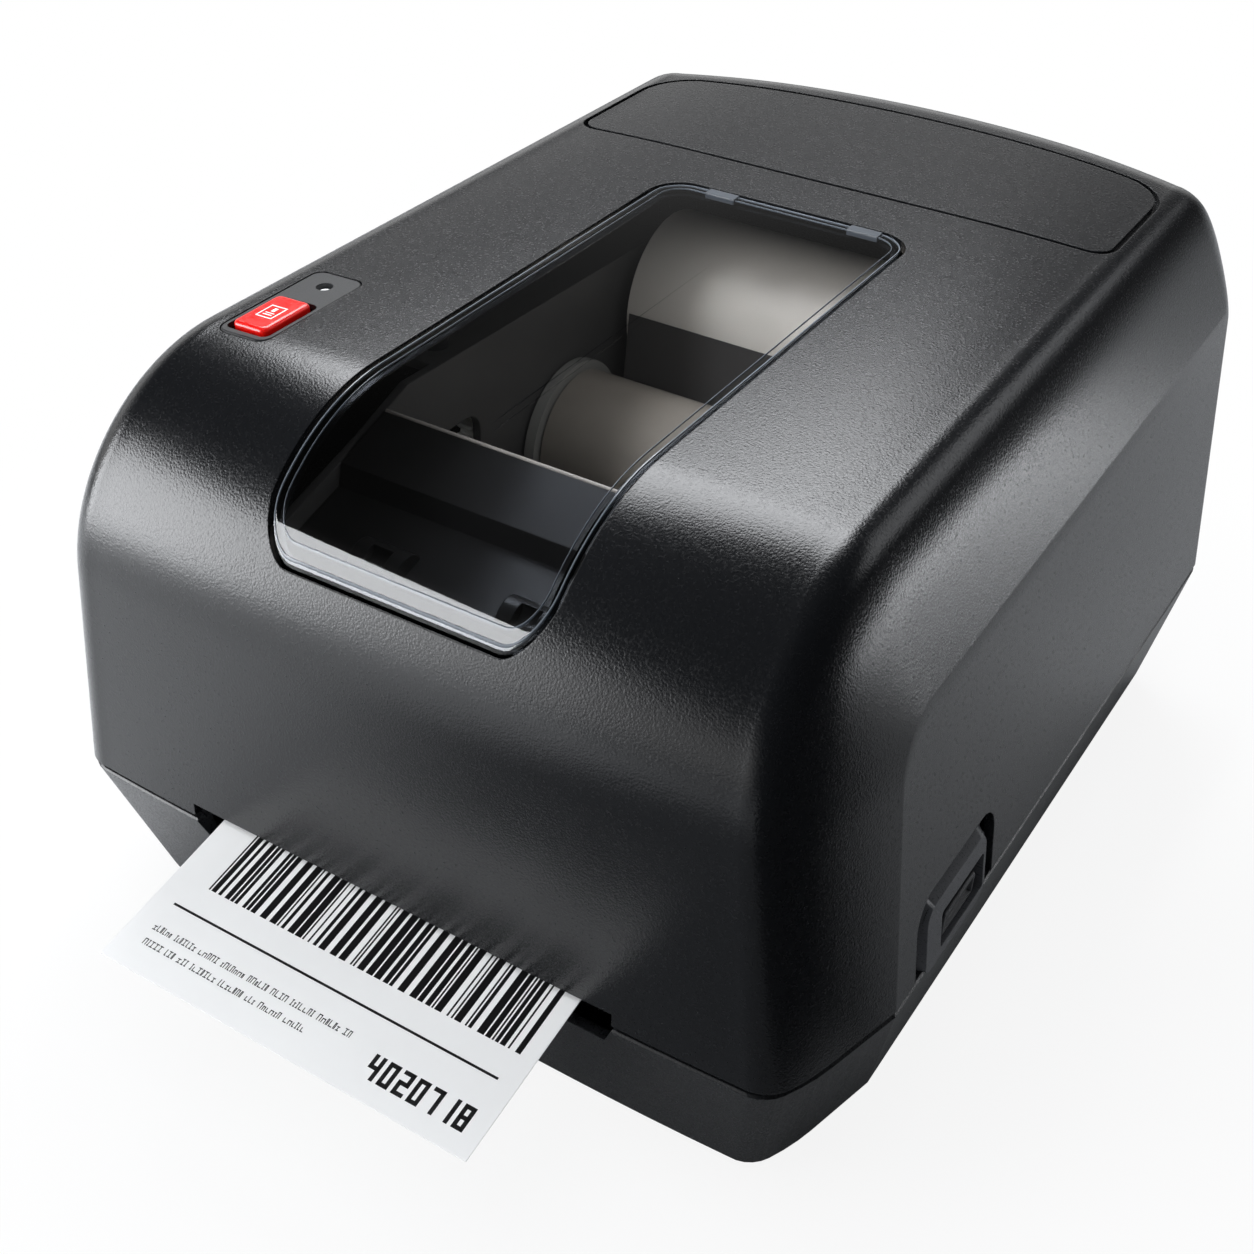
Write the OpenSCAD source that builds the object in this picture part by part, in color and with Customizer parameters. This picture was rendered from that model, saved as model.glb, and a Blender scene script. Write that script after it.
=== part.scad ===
// Desktop thermal-transfer label printer with a clamshell cover.
// X runs across the machine, Y from the front face to the rear, Z up from the surface it stands on.
// Every length called "_y" is measured back from the front face, every "_z" up from the surface.

/* [Case] */
// Width of the case at the seam between cover and base
case_w = 216; // [210:1:226]
// Length of the case from its flat front face to the rearmost point of its bowed back
case_l = 276; // [272:1:286]
// Height of the seam, at the lower edge of the cover
seam_z = 45.6; // [44.5:0.1:47]
// Gap between the cover and the base
seam_gap = 1.5; // [1:0.1:2]
// Height of the top plane where it meets the plane of the front face
top_z = 151.5; // [150:0.5:158]
// Rise of the top towards the rear, in millimetres for each millimetre
top_rise = 0.0375; // [0.03:0.0025:0.045]
// Wall thickness of the cover and the base
wall = 2.6; // [2:0.1:3]
// Lean of the cover's side walls, in millimetres for each millimetre of height
side_draft = 0.11; // [0.09:0.01:0.12]
// Radius of the arch between the front face and the top
nose_r = 50; // [46:1:54]
// Radius of the edge between the top and the rear wall
tail_r = 20; // [16:1:24]
// Radius of the long rounded edges beside the top and the front face
edge_r = 9.5; // [8.5:0.1:10.5]
// Radius of the shoulder that eases the rounded edge into the facet
shoulder_r = 57; // [50:1:65]
// Angle that the shoulder turns through, in degrees
shoulder_turn = 13; // [10:0.5:15]
// Width that the sloping facet takes off each side
facet_w = 9.8; // [9:0.2:11]
// Depth of the sloping facet below the top and behind the front face
facet_depth = 36; // [32:1:40]
// Plan radius of the bowed rear wall
bow_r = 310; // [290:5:360]
// Radius of the upright rear corners
corner_r = 5; // [3:0.5:7]
// Drop of the top from its flat middle to the start of its rounded edges
crown = 1; // [0.5:0.1:1.5]
// Height of the rubber feet
foot_h = 2.1; // [1.5:0.1:3]
// How far the base leans in at each side
base_in_side = 8.35; // [6:0.25:10]
// How far the base leans in at the front
base_in_front = 13.9; // [10:0.25:16]
// How far the base leans in at the rear
base_in_rear = 5; // [3:0.25:8]

/* [Label] */
// Width of the label web
label_w = 101.6; // [90:0.4:104]
// Thickness of the label web
label_t = 0.2; // [0.15:0.05:0.3]
// How far the printed label reaches out of the front face
label_out = 40; // [25:1:60]
// Slope of the label that hangs out, in degrees
label_droop = 12.6; // [6:0.2:15]
// Radius of the label roll
label_roll_r = 30; // [20:1:31]
// Outer radius of the label roll's cardboard core
label_core_r = 14.5; // [13.5:0.5:18]
// Half width of the mouth that the label leaves through
mouth_half_w = 59.3; // [56:0.1:62]
// Height of the mouth's upper edge, in the cover
mouth_top_z = 49.2; // [48.8:0.1:51]
// Height of the mouth's lower edge, in the base
mouth_low_z = 37.6; // [36:0.1:39]

/* [Window] */
// Width of the window
window_w = 71; // [60:1:74]
// Distance of the window's lower front edge behind the front face, in plan
window_front_y = 5.9; // [5:0.1:12]
// Distance of the window's rear edge behind the front face
window_rear_y = 171.5; // [150:1:176]
// Corner radius of the window in plan
window_r = 9; // [6:0.5:12]
// Thickness of the window
window_t = 2.2; // [1.6:0.1:2.4]
// Gap round the window
window_gap = 0.7; // [0.4:0.1:1]

/* [Controls] */
// Distance of the control plate's middle from the left edge of the cover
control_in = 37.7; // [36:0.1:39]
// Front edge of the control plate
control_front_y = 42; // [40:0.5:50]
// Rear edge of the control plate
control_rear_y = 78; // [74:0.5:84]
// Width of the control plate
control_w = 14.6; // [14:0.1:15.4]
// Width of the feed button
button_w = 10; // [8:0.2:11]
// Length of the feed button
button_l = 16.4; // [12:0.2:18]
// Middle of the feed button behind the front face
button_y = 53.1; // [52:0.1:55]
// Travel of the feed button
button_travel = 0.8; // [0.5:0.1:0.9]
// Middle of the status light behind the front face
light_y = 71.4; // [69:0.1:73]
// Radius of the status light
light_r = 1.6; // [1.2:0.1:2]

/* [Name panel] */
// Half width of the bare panel on the rear of the top
panel_half_w = 78; // [70:0.5:79]
// Front edge of the panel
panel_front_y = 193; // [188:0.5:200]
// Rear edge of the panel at its middle
panel_rear_y = 250.5; // [246:0.5:252]
// Width of the groove round the panel
groove_w = 0.9; // [0.6:0.1:1.2]
// Depth of the groove
groove_t = 0.8; // [0.5:0.1:1]

/* [Latches] */
// Front edge of the cover's latch cut-outs
latch_front_y = 47.5; // [46.5:0.5:49]
// Rear edge of the cover's latch cut-outs
latch_rear_y = 91; // [88:0.5:94]
// Height of the top of the cut-outs
latch_top_z = 66.5; // [64:0.5:70]
// Corner radius of the cut-outs
latch_r = 8; // [6:0.5:10]

/* [Hinge] */
// Radius of the hinge barrels
barrel_r = 4; // [3.5:0.1:4.5]
// Radius of the hinge pins
hinge_pin_r = 1.5; // [1:0.1:2]
// Width of one hinge barrel
barrel_w = 4; // [3:0.5:5]
// Inner end of each hinge
hinge_x = 54; // [50:1:56]

/* [Platen and drive] */
// Platen axis behind the front face
platen_y = 24; // [23:0.5:26]
// Platen axis height
platen_z = 39.5; // [39:0.1:39.8]
// Radius of the rubber platen
platen_r = 8.5; // [8:0.1:8.8]
// Half length of the rubber platen
platen_half_w = 54; // [53:0.5:56]
// Radius of the platen's steel shaft
shaft_r = 4; // [3:0.25:4.5]
// Radius of the shaft's journals
journal_r = 3; // [2:0.25:3.5]
// Running clearance of shafts in their bores
running_gap = 0.05; // [0.02:0.01:0.1]
// Gear module
gear_m = 1; // [0.9:0.05:1.05]
// Teeth of the platen gear
platen_teeth = 18; // [18:1:20]
// Teeth of the idler gear
idler_teeth = 24; // [22:1:24]
// Teeth of the motor pinion
pinion_teeth = 12; // [12:1:13]
// Thickness of the gears
gear_t = 5; // [4:0.5:6]
// Direction from the platen to the idler, in degrees below level
idler_drop = 35; // [30:1:38]
// Side of the square stepper motor
motor_w = 32; // [28:1:34]
// Gap between the stepper motor's outer end and the base's side wall
motor_gap = 1; // [1:0.25:5]

/* [Ribbon] */
// Take-up roll axis behind the front face
takeup_y = 159; // [156:0.5:160]
// Take-up roll axis height
takeup_z = 80; // [79:0.5:82]
// Radius of the take-up roll
takeup_r = 19.5; // [15:0.5:20.5]
// Radius of the take-up roll's end flanges
flange_r = 22; // [21:0.5:22.5]
// Supply roll axis behind the front face
supply_y = 209; // [208:0.5:211]
// Supply roll axis height
supply_z = 107; // [106:0.5:109]
// Radius of the supply roll
supply_r = 25; // [20:0.5:25]
// Half width of the ribbon
ribbon_half_w = 55; // [50:0.5:55.5]
// Thickness of the ribbon film
film_t = 0.2; // [0.1:0.05:0.2]
// Radius of the ribbon cores
ribbon_core_r = 12.7; // [11:0.1:13]
// Radius of the ribbon guide roller
guide_r = 6.5; // [4:0.25:6.5]
// Radius of the ribbon guide bars
bar_r = 2.5; // [2:0.25:3]
// Inner face of the ribbon side plates from the middle
plate_x = 60; // [59.5:0.1:60.5]
// Thickness of the ribbon side plates
plate_t = 2.5; // [2:0.1:3]
// Height of the top edge of the ribbon side plates
plate_top_z = 124; // [122:0.5:126]

/* [Roll holders] */
// Label roll axis behind the front face
roll_y = 216; // [215:0.5:218]
// Label roll axis height
roll_z = 46.5; // [46.5:0.5:48]
// Height of the top of the media well's floor
well_z = 15; // [14:0.5:15.5]

/* [Hidden] */
$fn = 48;

case_half = case_w / 2;
base_top_z = seam_z - seam_gap;
floor_z = foot_h + wall;
touch = 0.3;              // Clearance between curved neighbours
cut = 1;                  // How far a cutter runs past the face that it opens
hinge_y = case_l - pow(hinge_x, 2) / (2 * bow_r) + barrel_r + 0.9;
hinge_z = seam_z - seam_gap / 2;
knuckle_gap = 0.4;
front_y = -(hinge_y + barrel_r - label_out) / 2;
top_slope = atan(top_rise);
control_x = control_in - case_half;

function top_at(y) = top_z + top_rise * y;

// ---- Outline of the case ---------------------------------------------------------------
// The case is a skin of rings. Each ring is a side outline (front, arch, top, tail, rear) at one
// station across the machine. Outer stations lie deeper below the top and behind the front face.

facet_turn = 90 - atan(facet_w / facet_depth);
arc_turn = facet_turn - shoulder_turn;
arc_end = edge_r * [sin(arc_turn), 1 - cos(arc_turn)];
shoulder_end = arc_end
    + shoulder_r * [sin(facet_turn) - sin(arc_turn), cos(arc_turn) - cos(facet_turn)];
edge_x = case_half - facet_w + shoulder_end[1] * facet_w / facet_depth - shoulder_end[0];
flat_x = (window_w / 2 + 3) * edge_x / (edge_x - side_draft * (top_z - seam_z));
facet_start = [edge_x, 0] + shoulder_end;
ARC_STEPS = 5;
SHOULDER_STEPS = 3;
NOSE_STEPS = 12;
TAIL_STEPS = 6;

crown_stations = [for (i = [0:4]) let (s = i / 4)
    [flat_x + (edge_x - flat_x) * s, crown * s * s]];
arc_stations = [for (i = [1:ARC_STEPS]) let (s = i / ARC_STEPS, a = arc_turn * s)
    [edge_x, crown * (1 - s / 2)] + edge_r * [sin(a), 1 - cos(a)]];
shoulder_stations = [for (i = [1:SHOULDER_STEPS])
    let (s = i / SHOULDER_STEPS, a = arc_turn + shoulder_turn * s)
    [edge_x, crown * (1 - s) / 2] + arc_end
        + shoulder_r * [sin(a) - sin(arc_turn), cos(arc_turn) - cos(a)]];
facet_stations = [for (s = [0.35, 0.6, 0.75, 0.87, 0.95, 1])
    facet_start + ([case_half, facet_depth] - facet_start) * s];
half_stations = concat(crown_stations, arc_stations, shoulder_stations, facet_stations);
HALF = len(half_stations);
stations = concat(
    [for (i = [HALF - 1:-1:0]) [-half_stations[i][0], half_stations[i][1]]],
    [[-flat_x / 2, 0], [0, 0], [flat_x / 2, 0]],
    half_stations);

// How far the rear wall lies in front of its rearmost point, at distance x from the middle
function rear_in(x) = x * x / (2 * bow_r)
    + (x <= case_half - corner_r ? 0
       : corner_r - sqrt(max(0, pow(corner_r, 2) - pow(x - case_half + corner_r, 2))));

function x_at(x, z, inset) =
    sign(x) * (abs(x) * (case_half - inset) / case_half - side_draft * (z - seam_z) * (abs(x) > 0 ? 1 : 0)
               * min(1, abs(x) / edge_x));

// One ring of the cover's skin as [x, y, z] points
function ring(station, inset, low_z) =
    let (x = station[0],
         n = station[1],
         a = n * 1.05 + inset,
         b = top_z - n * 0.95 - inset,
         c = case_l - rear_in(abs(x)) - inset,
         r = max(nose_r - n - inset, 12),
         t = max(tail_r - n * 0.45 - inset, 2),
         up = sqrt(1 + top_rise * top_rise),
         nose = [a + r, b + top_rise * (a + r) - r * up],
         tail = [c - t, b + top_rise * (c - t) - t * up],
         outline = concat(
             [[a, low_z]],
             [for (i = [0:NOSE_STEPS]) let (g = 180 - (90 - top_slope) * i / NOSE_STEPS)
                 nose + r * [cos(g), sin(g)]],
             [for (i = [0:TAIL_STEPS]) let (g = (90 + top_slope) * (1 - i / TAIL_STEPS))
                 tail + t * [cos(g), sin(g)]],
             [[c, low_z]]))
    [for (p = outline) [x_at(x, p[1], inset), p[0], p[1]]];

RING = NOSE_STEPS + TAIL_STEPS + 4;

module skin(inset, low_z) {
    rings = [for (s = stations) ring(s, inset, low_z)];
    count = len(rings);
    points = [for (r = rings) each r];
    walls = [for (i = [0:count - 2], j = [0:RING - 1])
        let (k = (j + 1) % RING,
             p = i * RING + j, q = i * RING + k, u = (i + 1) * RING + k, v = (i + 1) * RING + j)
        each [[p, u, v], [p, q, u]]];
    last = (count - 1) * RING;
    ends = [for (j = [1:RING - 2]) each [[0, j + 1, j], [last, last + j, last + j + 1]]];
    polyhedron(points, concat(walls, ends), convexity = 8);
}

// Plan outline of the case at the seam, moved in by the given amounts, as [x, y] points
function plan(side, front, rear) = concat(
    [for (s = stations)
        [s[0] * (case_half - side) / case_half, s[1] * 1.05 + front]],
    [for (i = [len(stations) - 1:-1:0]) let (s = stations[i])
        [s[0] * (case_half - side) / case_half, case_l - rear_in(abs(s[0])) - rear]]);

// Tub whose outlines are [z, side, front, rear] insets, from the lowest to the highest
module tub(levels) {
    loops = [for (l = levels) [for (p = plan(l[1], l[2], l[3])) [p[0], p[1], l[0]]]];
    size = len(loops[0]);
    points = [for (l = loops) each l];
    walls = [for (i = [0:len(levels) - 2], j = [0:size - 1])
        let (k = (j + 1) % size,
             p = i * size + j, q = i * size + k, u = (i + 1) * size + k, v = (i + 1) * size + j)
        each [[p, v, u], [p, u, q]]];
    bottom = [for (j = [0:size - 1]) j];
    top = [for (j = [size - 1:-1:0]) (len(levels) - 1) * size + j];
    polyhedron(points, concat(walls, [bottom, top]), convexity = 8);
}

// Share of the base's lean at height z
function lean_at(z) = (base_top_z - z) / (base_top_z - foot_h);

// ---- Shared shapes ---------------------------------------------------------------------

// Puts children at the front face, with Y measured back from it
module from_front() {
    translate([0, front_y, 0]) children();
}

// Cylinder along X from x0 to x1
module rod(x0, x1, r, y, z) {
    translate([x0, y, z]) rotate([0, 90, 0]) cylinder(r = r, h = x1 - x0);
}

// Box from one corner to the other
module span(low, high) {
    translate(low) cube(high - low);
}

// Rectangle with rounded corners from one corner to the other
module round_rect(low, high, r) {
    translate(low + [r, 0]) square(high - low - [2 * r, 0]);
    translate(low + [0, r]) square(high - low - [0, 2 * r]);
    for (x = [low[0] + r, high[0] - r], y = [low[1] + r, high[1] - r])
        translate([x, y]) circle(r);
}

// A side outline in [y, z] carried across the machine from x0 to x1
module across(x0, x1) {
    translate([x0, 0, 0]) rotate([90, 0, 90]) linear_extrude(x1 - x0) children();
}

// Direction square to the step from point i to the next one
function square_to(run, i) = let (d = run[i + 1] - run[i]) [-d[1], d[0]] / norm(d);

// Mitred offset at point i of a run, for a band of half width 1
function mitre(run, i) =
    i == 0 ? square_to(run, 0)
    : i == len(run) - 1 ? square_to(run, i - 1)
    : let (m = square_to(run, i - 1), n = square_to(run, i)) (m + n) / (1 + m * n);

// A strip of thickness t along a run of [y, z] points, from x0 to x1
module strip(run, t, x0, x1) {
    last = len(run) - 1;
    across(x0, x1)
        polygon(concat(
            [for (i = [0:last]) run[i] + mitre(run, i) * t / 2],
            [for (i = [last:-1:0]) run[i] - mitre(run, i) * t / 2]));
}

// Copy on both sides of the middle
module both_sides() {
    children();
    mirror([1, 0, 0]) children();
}

// Involute tooth flank point at radius r, as [x, y], for a gear with base radius b
function involute(b, t) = b * [cos(t) + t * PI / 180 * sin(t), sin(t) - t * PI / 180 * cos(t)];

// Flat spur gear outline with its first tooth on the X axis
module gear_outline(teeth, slack = 0.12) {
    pitch = gear_m * teeth / 2;
    base = pitch * cos(20);
    root = pitch - gear_m * 1.2;
    half = 90 / teeth - slack / 2 / pitch * 180 / PI;
    inv_pitch = tan(20) * 180 / PI - 20;
    roll_tip = sqrt(pow((pitch + gear_m * 0.9) / base, 2) - 1) * 180 / PI;
    flank = [for (i = [0:4]) let (p = involute(base, roll_tip * i / 4))
        [norm(p), half + inv_pitch - atan2(p[1], p[0])]];
    foot = [root - 0.4, flank[0][1]];
    side = concat([foot], flank);
    tooth = concat(
        [for (f = side) f[0] * [cos(f[1]), -sin(f[1])]],
        [for (i = [len(side) - 1:-1:0]) let (f = side[i]) f[0] * [cos(f[1]), sin(f[1])]]);
    circle(root);
    for (i = [0:teeth - 1])
        rotate(360 * i / teeth) polygon(tooth);
}

// Spur gear on an axis along X, turned by the given angle, with a bore
module gear(teeth, x0, y, z, turn, bore) {
    across(x0, x0 + gear_t)
        translate([y, z])
            difference() {
                rotate(turn) gear_outline(teeth);
                circle(bore);
            }
}

// ---- Places that several pieces share --------------------------------------------------

gear_x = -(plate_x + plate_t + 10);
idler_span = gear_m * (platen_teeth + idler_teeth) / 2;
idler_y = platen_y + idler_span * cos(idler_drop);
idler_z = platen_z - idler_span * sin(idler_drop);
pinion_y = idler_y + gear_m * (idler_teeth + pinion_teeth) / 2;
platen_turn = -idler_drop;
idler_turn = 180 - idler_drop + 180 / idler_teeth;
pinion_lag = (0 - idler_turn) - floor((0 - idler_turn) / (360 / idler_teeth)) * 360 / idler_teeth;
pinion_turn = 180 + 180 / pinion_teeth + pinion_lag * idler_teeth / pinion_teeth;
bush_r = journal_r + 2.5;
upright_x = 60;
upright_t = 3.5;
motor_plate_x = gear_x - 3.5;
motor_l = case_half - base_in_side - wall - motor_gap + motor_plate_x - 2;
deck_front_y = 37;
deck_rear_y = 82;
deck_t = 2;
web_rear_z = 36;
web_top_z = platen_z + platen_r + touch + label_t / 2;
tear_y = 8;
guide_y = 188;
guide_z = 81;
lower_bar_y = 178.5;
lower_bar_z = 57.5;
front_bar_y = 22;
front_bar_z = 65;
pivot_y = 62;
pivot_z = 60;
film_low_gap = 0.15;      // Between the film and what it passes, at the print line
film_z = web_top_z + label_t / 2 + film_low_gap + film_t / 2;
head_z = film_z + film_t / 2 + film_low_gap;
head_half_w = 53;
well_front_y = 86;
well_rear_y = roll_y + label_roll_r + 2.6;
well_half_w = 82;
well_wall_z = 43;
rack_y = roll_y - 42;
jack_z = 19;
panel_y = 262;
panel_half_x = 62;
panel_low_z = 9;
panel_high_z = 38;
board_z = 7.4;
board_t = 1.6;

// ---- Base ------------------------------------------------------------------------------

module latch_bezel() {
    difference() {
        across(case_half - 10, case_half - 2.4)
            difference() {
                union() {
                    round_rect([latch_front_y + 2.2, base_top_z - 8],
                               [latch_rear_y - 1.2, latch_top_z - 1.3], latch_r - 1);
                }
                round_rect([latch_front_y + 15.8, base_top_z + 1],
                           [latch_rear_y - 9, base_top_z + 8.4], 0.6);
            }
        // Slope that bevels the arch's outer edge
        across(case_half - 5.4, case_half)
            difference() {
                square([200, 100]);
                round_rect([latch_front_y + 5, -20],
                           [latch_rear_y - 3.4, latch_top_z - 5.4], latch_r - 4);
            }
        // Shallow recess round the release tab
        across(case_half - 6.6, case_half)
            round_rect([latch_front_y + 11.3, base_top_z + 0.8],
                       [latch_rear_y - 4.6, latch_top_z - 9.6], 2);
    }
}

module base_knuckle(x) {
    difference() {
        union() {
            rod(x, x + barrel_w, barrel_r, hinge_y, hinge_z);
            span([x, hinge_y - 10, hinge_z - barrel_r], [x + barrel_w, hinge_y, hinge_z - 0.9]);
        }
        rod(x - cut, x + barrel_w + cut, hinge_pin_r + 0.02, hinge_y, hinge_z);
    }
}

module screw_boss(x, y, z0, z1, r, bore) {
    translate([x, y, z0])
        difference() {
            cylinder(r = r, h = z1 - z0);
            translate([0, 0, -cut]) cylinder(r = bore, h = z1 - z0 + 2 * cut);
        }
}

module base_tray() {
    color("#2b2c2e") from_front() {
        difference() {
            union() {
                rim();
                panel_recess();
                base_shell();
            }
            // Mouth that the label leaves through
            translate([0, wall + 20, 0]) rotate([90, 0, 0]) linear_extrude(wall + 20 + cut)
                polygon([
                    [-mouth_half_w, rim_z + cut], [-mouth_half_w, base_top_z],
                    [-mouth_half_w + 2.8, mouth_low_z], [mouth_half_w - 2.8, mouth_low_z],
                    [mouth_half_w, base_top_z], [mouth_half_w, rim_z + cut]]);
            // Opening for the connector panel
            span([-panel_half_x, panel_y, panel_low_z], [panel_half_x, case_l + cut, panel_high_z]);
            both_sides() {
                span([case_half - 12, latch_front_y + 15.8, base_top_z - 4],
                     [case_half - wall - 0.1, latch_rear_y - 9, rim_z + cut]);
                span([leaf_x - 3, case_l - 20, base_top_z + 0.5], [leaf_x + barrel_w + 3, case_l, rim_z + cut]);
            }
        }
        both_sides() {
            latch_bezel();
            base_knuckle(hinge_x);
            base_knuckle(hinge_x + 2 * (barrel_w + knuckle_gap));
        }
        // Standoffs under the main board
        for (x = board_holes_x, y = board_holes_y)
            screw_boss(x, y, floor_z, board_z, 3.2, 1.2);
    }
}

// Lip that stands inside the cover's lower edge
module rim() {
    translate([0, 0, rim_low_z])
        linear_extrude(rim_z - rim_low_z)
            difference() {
                polygon(plan(wall + rim_gap, wall + rim_gap, wall + rim_gap));
                polygon(plan(wall + rim_gap + rim_t, wall + rim_gap + rim_t, wall + rim_gap + rim_t));
            }
}

// Tunnel from the rear wall in to the connector panel
module panel_recess() {
    t = 1.6;
    for (z = [panel_low_z - t, panel_high_z])
        intersection() {
            translate([0, 0, z]) linear_extrude(t)
                polygon(plan(20, 20, base_in_rear * lean_at(z) + 0.3));
            span([-panel_half_x - t, panel_y - 0.5, z], [panel_half_x + t, case_l, z + t]);
        }
    both_sides() {
        span([panel_half_x, panel_y - 0.5, panel_low_z - t], [panel_half_x + t, panel_y + 3, panel_high_z + t]);
        // Ledge that the connector panel bears on
        span([panel_half_x - t, panel_y - t, panel_low_z], [panel_half_x + t, panel_y, panel_high_z]);
    }
}

module base_shell() {
    difference() {
        tub([
            [foot_h, base_in_side + 2.2, base_in_front + 2.2, base_in_rear + 2.2],
            [foot_h + 0.7, base_in_side + 0.7, base_in_front + 0.7, base_in_rear + 0.7],
            [foot_h + 2.2, base_in_side * 0.95, base_in_front * 0.95, base_in_rear * 0.95],
            [base_top_z - 0.6, 0.1, 0.2, 0.1],
            [base_top_z, 0.6, 0.6, 0.6]
        ]);
        tub([
            [floor_z, base_in_side + wall, base_in_front + wall, base_in_rear + wall],
            [base_top_z, wall, wall, wall],
            [base_top_z + cut, wall, wall, wall]
        ]);
    }
}

rim_gap = 0.5;
rim_t = 1.5;
rim_low_z = base_top_z - 8;
rim_z = base_top_z + 4;

board_holes_x = [-66, 66];
board_holes_y = [100, 250];
foot_x = 78;
foot_ys = [28, 248];

module foot_pads() {
    color("#17181a") from_front()
        for (x = [-foot_x, foot_x], y = foot_ys)
            translate([x, y, 0])
                cylinder(r = 7, h = foot_h);
}

module base_screws() {
    color("#8d9094") from_front() {
        for (x = board_holes_x, y = board_holes_y)
            translate([x, y, 0]) {
                translate([0, 0, board_z + board_t]) cylinder(r = 2.6, h = 1.8);
                translate([0, 0, floor_z + 0.5]) cylinder(r = 1.18, h = board_z + board_t - floor_z);
            }
    }
}

module media_well() {
    color("#232527") from_front() {
        difference() {
            span([-well_half_w, well_front_y, well_z - 2], [well_half_w, well_rear_y, well_wall_z]);
            span([-well_half_w + 2, well_front_y + 2, well_z],
                 [well_half_w - 2, well_rear_y - 2, well_wall_z + cut]);
            // The web passes over the lowered front wall
            span([-well_half_w + 8, well_front_y - cut, 30],
                 [well_half_w - 8, well_front_y + 2 + cut, well_wall_z + cut]);
            for (x = [-well_screw_x, well_screw_x])
                translate([x, well_front_y + 8, well_z - 2 - cut]) cylinder(r = 1.6, h = 4);
        }
        // Legs to the floor of the base
        for (x = [-well_half_w, well_half_w - 4], y = [well_front_y, 160, well_rear_y - 4])
            span([x, y, floor_z], [x + 4, y + 4, well_z - 2]);
        // Post that the rack pinion turns on
        translate([0, rack_y, well_z]) cylinder(r = 1.5, h = 4);
    }
}

well_screw_x = 70;

module socket_holes() {
    span([jack_x - 6, 0, 0], [jack_x + 6, case_l, jack_z + 6]);
    span([usb_x - 7, 0, 0], [usb_x + 7, case_l, jack_z + 6.5]);
    span([serial_x - 16, 0, 0], [serial_x + 16, case_l, jack_z + 6.5]);
    span([switch_x - 7, 0, jack_z - 8.7], [switch_x + 7, case_l, jack_z + 8.7]);
}

jack_x = 24;
usb_x = 0;
serial_x = -36;
switch_x = 46;

module rear_panel() {
    color("#26282a") from_front()
        difference() {
            span([-panel_half_x + touch, panel_y + 0.02, panel_low_z + touch],
                 [panel_half_x - touch, panel_y + 2.2, panel_high_z - touch]);
            socket_holes();
        }
}

module main_board() {
    color("#1f6b45") from_front() {
        difference() {
            span([-72, 94, board_z], [72, panel_y - 4, board_z + board_t]);
            for (x = board_holes_x, y = board_holes_y)
                translate([x, y, 0]) cylinder(r = 1.6, h = 20);
        }
        span([-16, 150, board_z + board_t], [8, 174, board_z + board_t + 1.6]);
        span([26, 140, board_z + board_t], [40, 160, board_z + board_t + 1.4]);
        span([-52, 120, board_z + board_t], [-34, 128, board_z + board_t + 1.2]);
        for (x = [24, 40]) translate([x, 200, board_z + board_t]) cylinder(r = 4, h = 3.4);
    }
}

module dc_jack() {
    color("#101112") from_front()
        difference() {
            span([jack_x - 5.6, panel_y - 11, board_z + board_t], [jack_x + 5.6, panel_y + 2.8, jack_z + 5.6]);
            translate([jack_x, panel_y + 3.8, jack_z]) rotate([90, 0, 0])
                difference() {
                    cylinder(r = 3.2, h = 11);
                    cylinder(r = 1.1, h = 11);
                }
        }
}

module usb_port() {
    color("#c3c6c8") from_front()
        difference() {
            span([usb_x - 6.2, panel_y - 13, board_z + board_t], [usb_x + 6.2, panel_y + 2.8, jack_z + 6]);
            difference() {
                span([usb_x - 4.4, panel_y - 8, jack_z - 4.2], [usb_x + 4.4, panel_y + 4, jack_z + 4.2]);
                span([usb_x - 2.6, panel_y - 9, jack_z - 1.6], [usb_x + 2.6, panel_y + 1.4, jack_z + 1.6]);
            }
        }
}

module serial_port() {
    color("#b4b7ba") from_front() {
        difference() {
            span([serial_x - 15.4, panel_y - 10, board_z + board_t], [serial_x + 15.4, panel_y + 2.8, jack_z + 6]);
            span([serial_x - 9, panel_y - 2, jack_z - 4.4], [serial_x + 9, panel_y + 4, jack_z + 4.4]);
            for (s = [-1, 1])
                translate([serial_x + 12.5 * s, panel_y + 4, jack_z]) rotate([90, 0, 0]) cylinder(r = 1.5, h = 8);
        }
        for (i = [0:4]) translate([serial_x - 5.5 + 2.75 * i, panel_y + 1, jack_z + 1.5])
            rotate([90, 0, 0]) cylinder(r = 0.5, h = 4);
        for (i = [0:3]) translate([serial_x - 4.1 + 2.75 * i, panel_y + 1, jack_z - 1.5])
            rotate([90, 0, 0]) cylinder(r = 0.5, h = 4);
    }
}

module switch_frame() {
    color("#131415") from_front() {
        // Pin that the rocker tilts on
        rod(switch_x - 5.3, switch_x + 5.3, rocker_pin_r, panel_y, jack_z);
        difference() {
            union() {
                span([switch_x - 6.8, panel_y - 9, jack_z - 8.5], [switch_x + 6.8, panel_y + 2.3, jack_z + 8.5]);
                span([switch_x - 8, panel_y + 2.25, jack_z - 9.6], [switch_x + 8, panel_y + 3.4, jack_z + 9.6]);
            }
            span([switch_x - 5.2, panel_y - 7, jack_z - 7.5], [switch_x + 5.2, panel_y + 5, jack_z + 7.5]);
        }
    }
}

rocker_pin_r = 1.2;

module power_rocker() {
    color("#0f1011") from_front()
        difference() {
            across(switch_x - 4.9, switch_x + 4.9)
                polygon([[panel_y - 3, jack_z - 4.4], [panel_y + 3.2, jack_z - 6.8], [panel_y + 4.2, jack_z - 6.4],
                         [panel_y + 3.2, jack_z], [panel_y + 5.2, jack_z + 6.2], [panel_y + 4.4, jack_z + 6.8],
                         [panel_y - 3, jack_z + 4.4]]);
            rod(switch_x - 6, switch_x + 6, rocker_pin_r + running_gap, panel_y, jack_z);
        }
}

// ---- Print mechanism in the base -------------------------------------------------------

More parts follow.
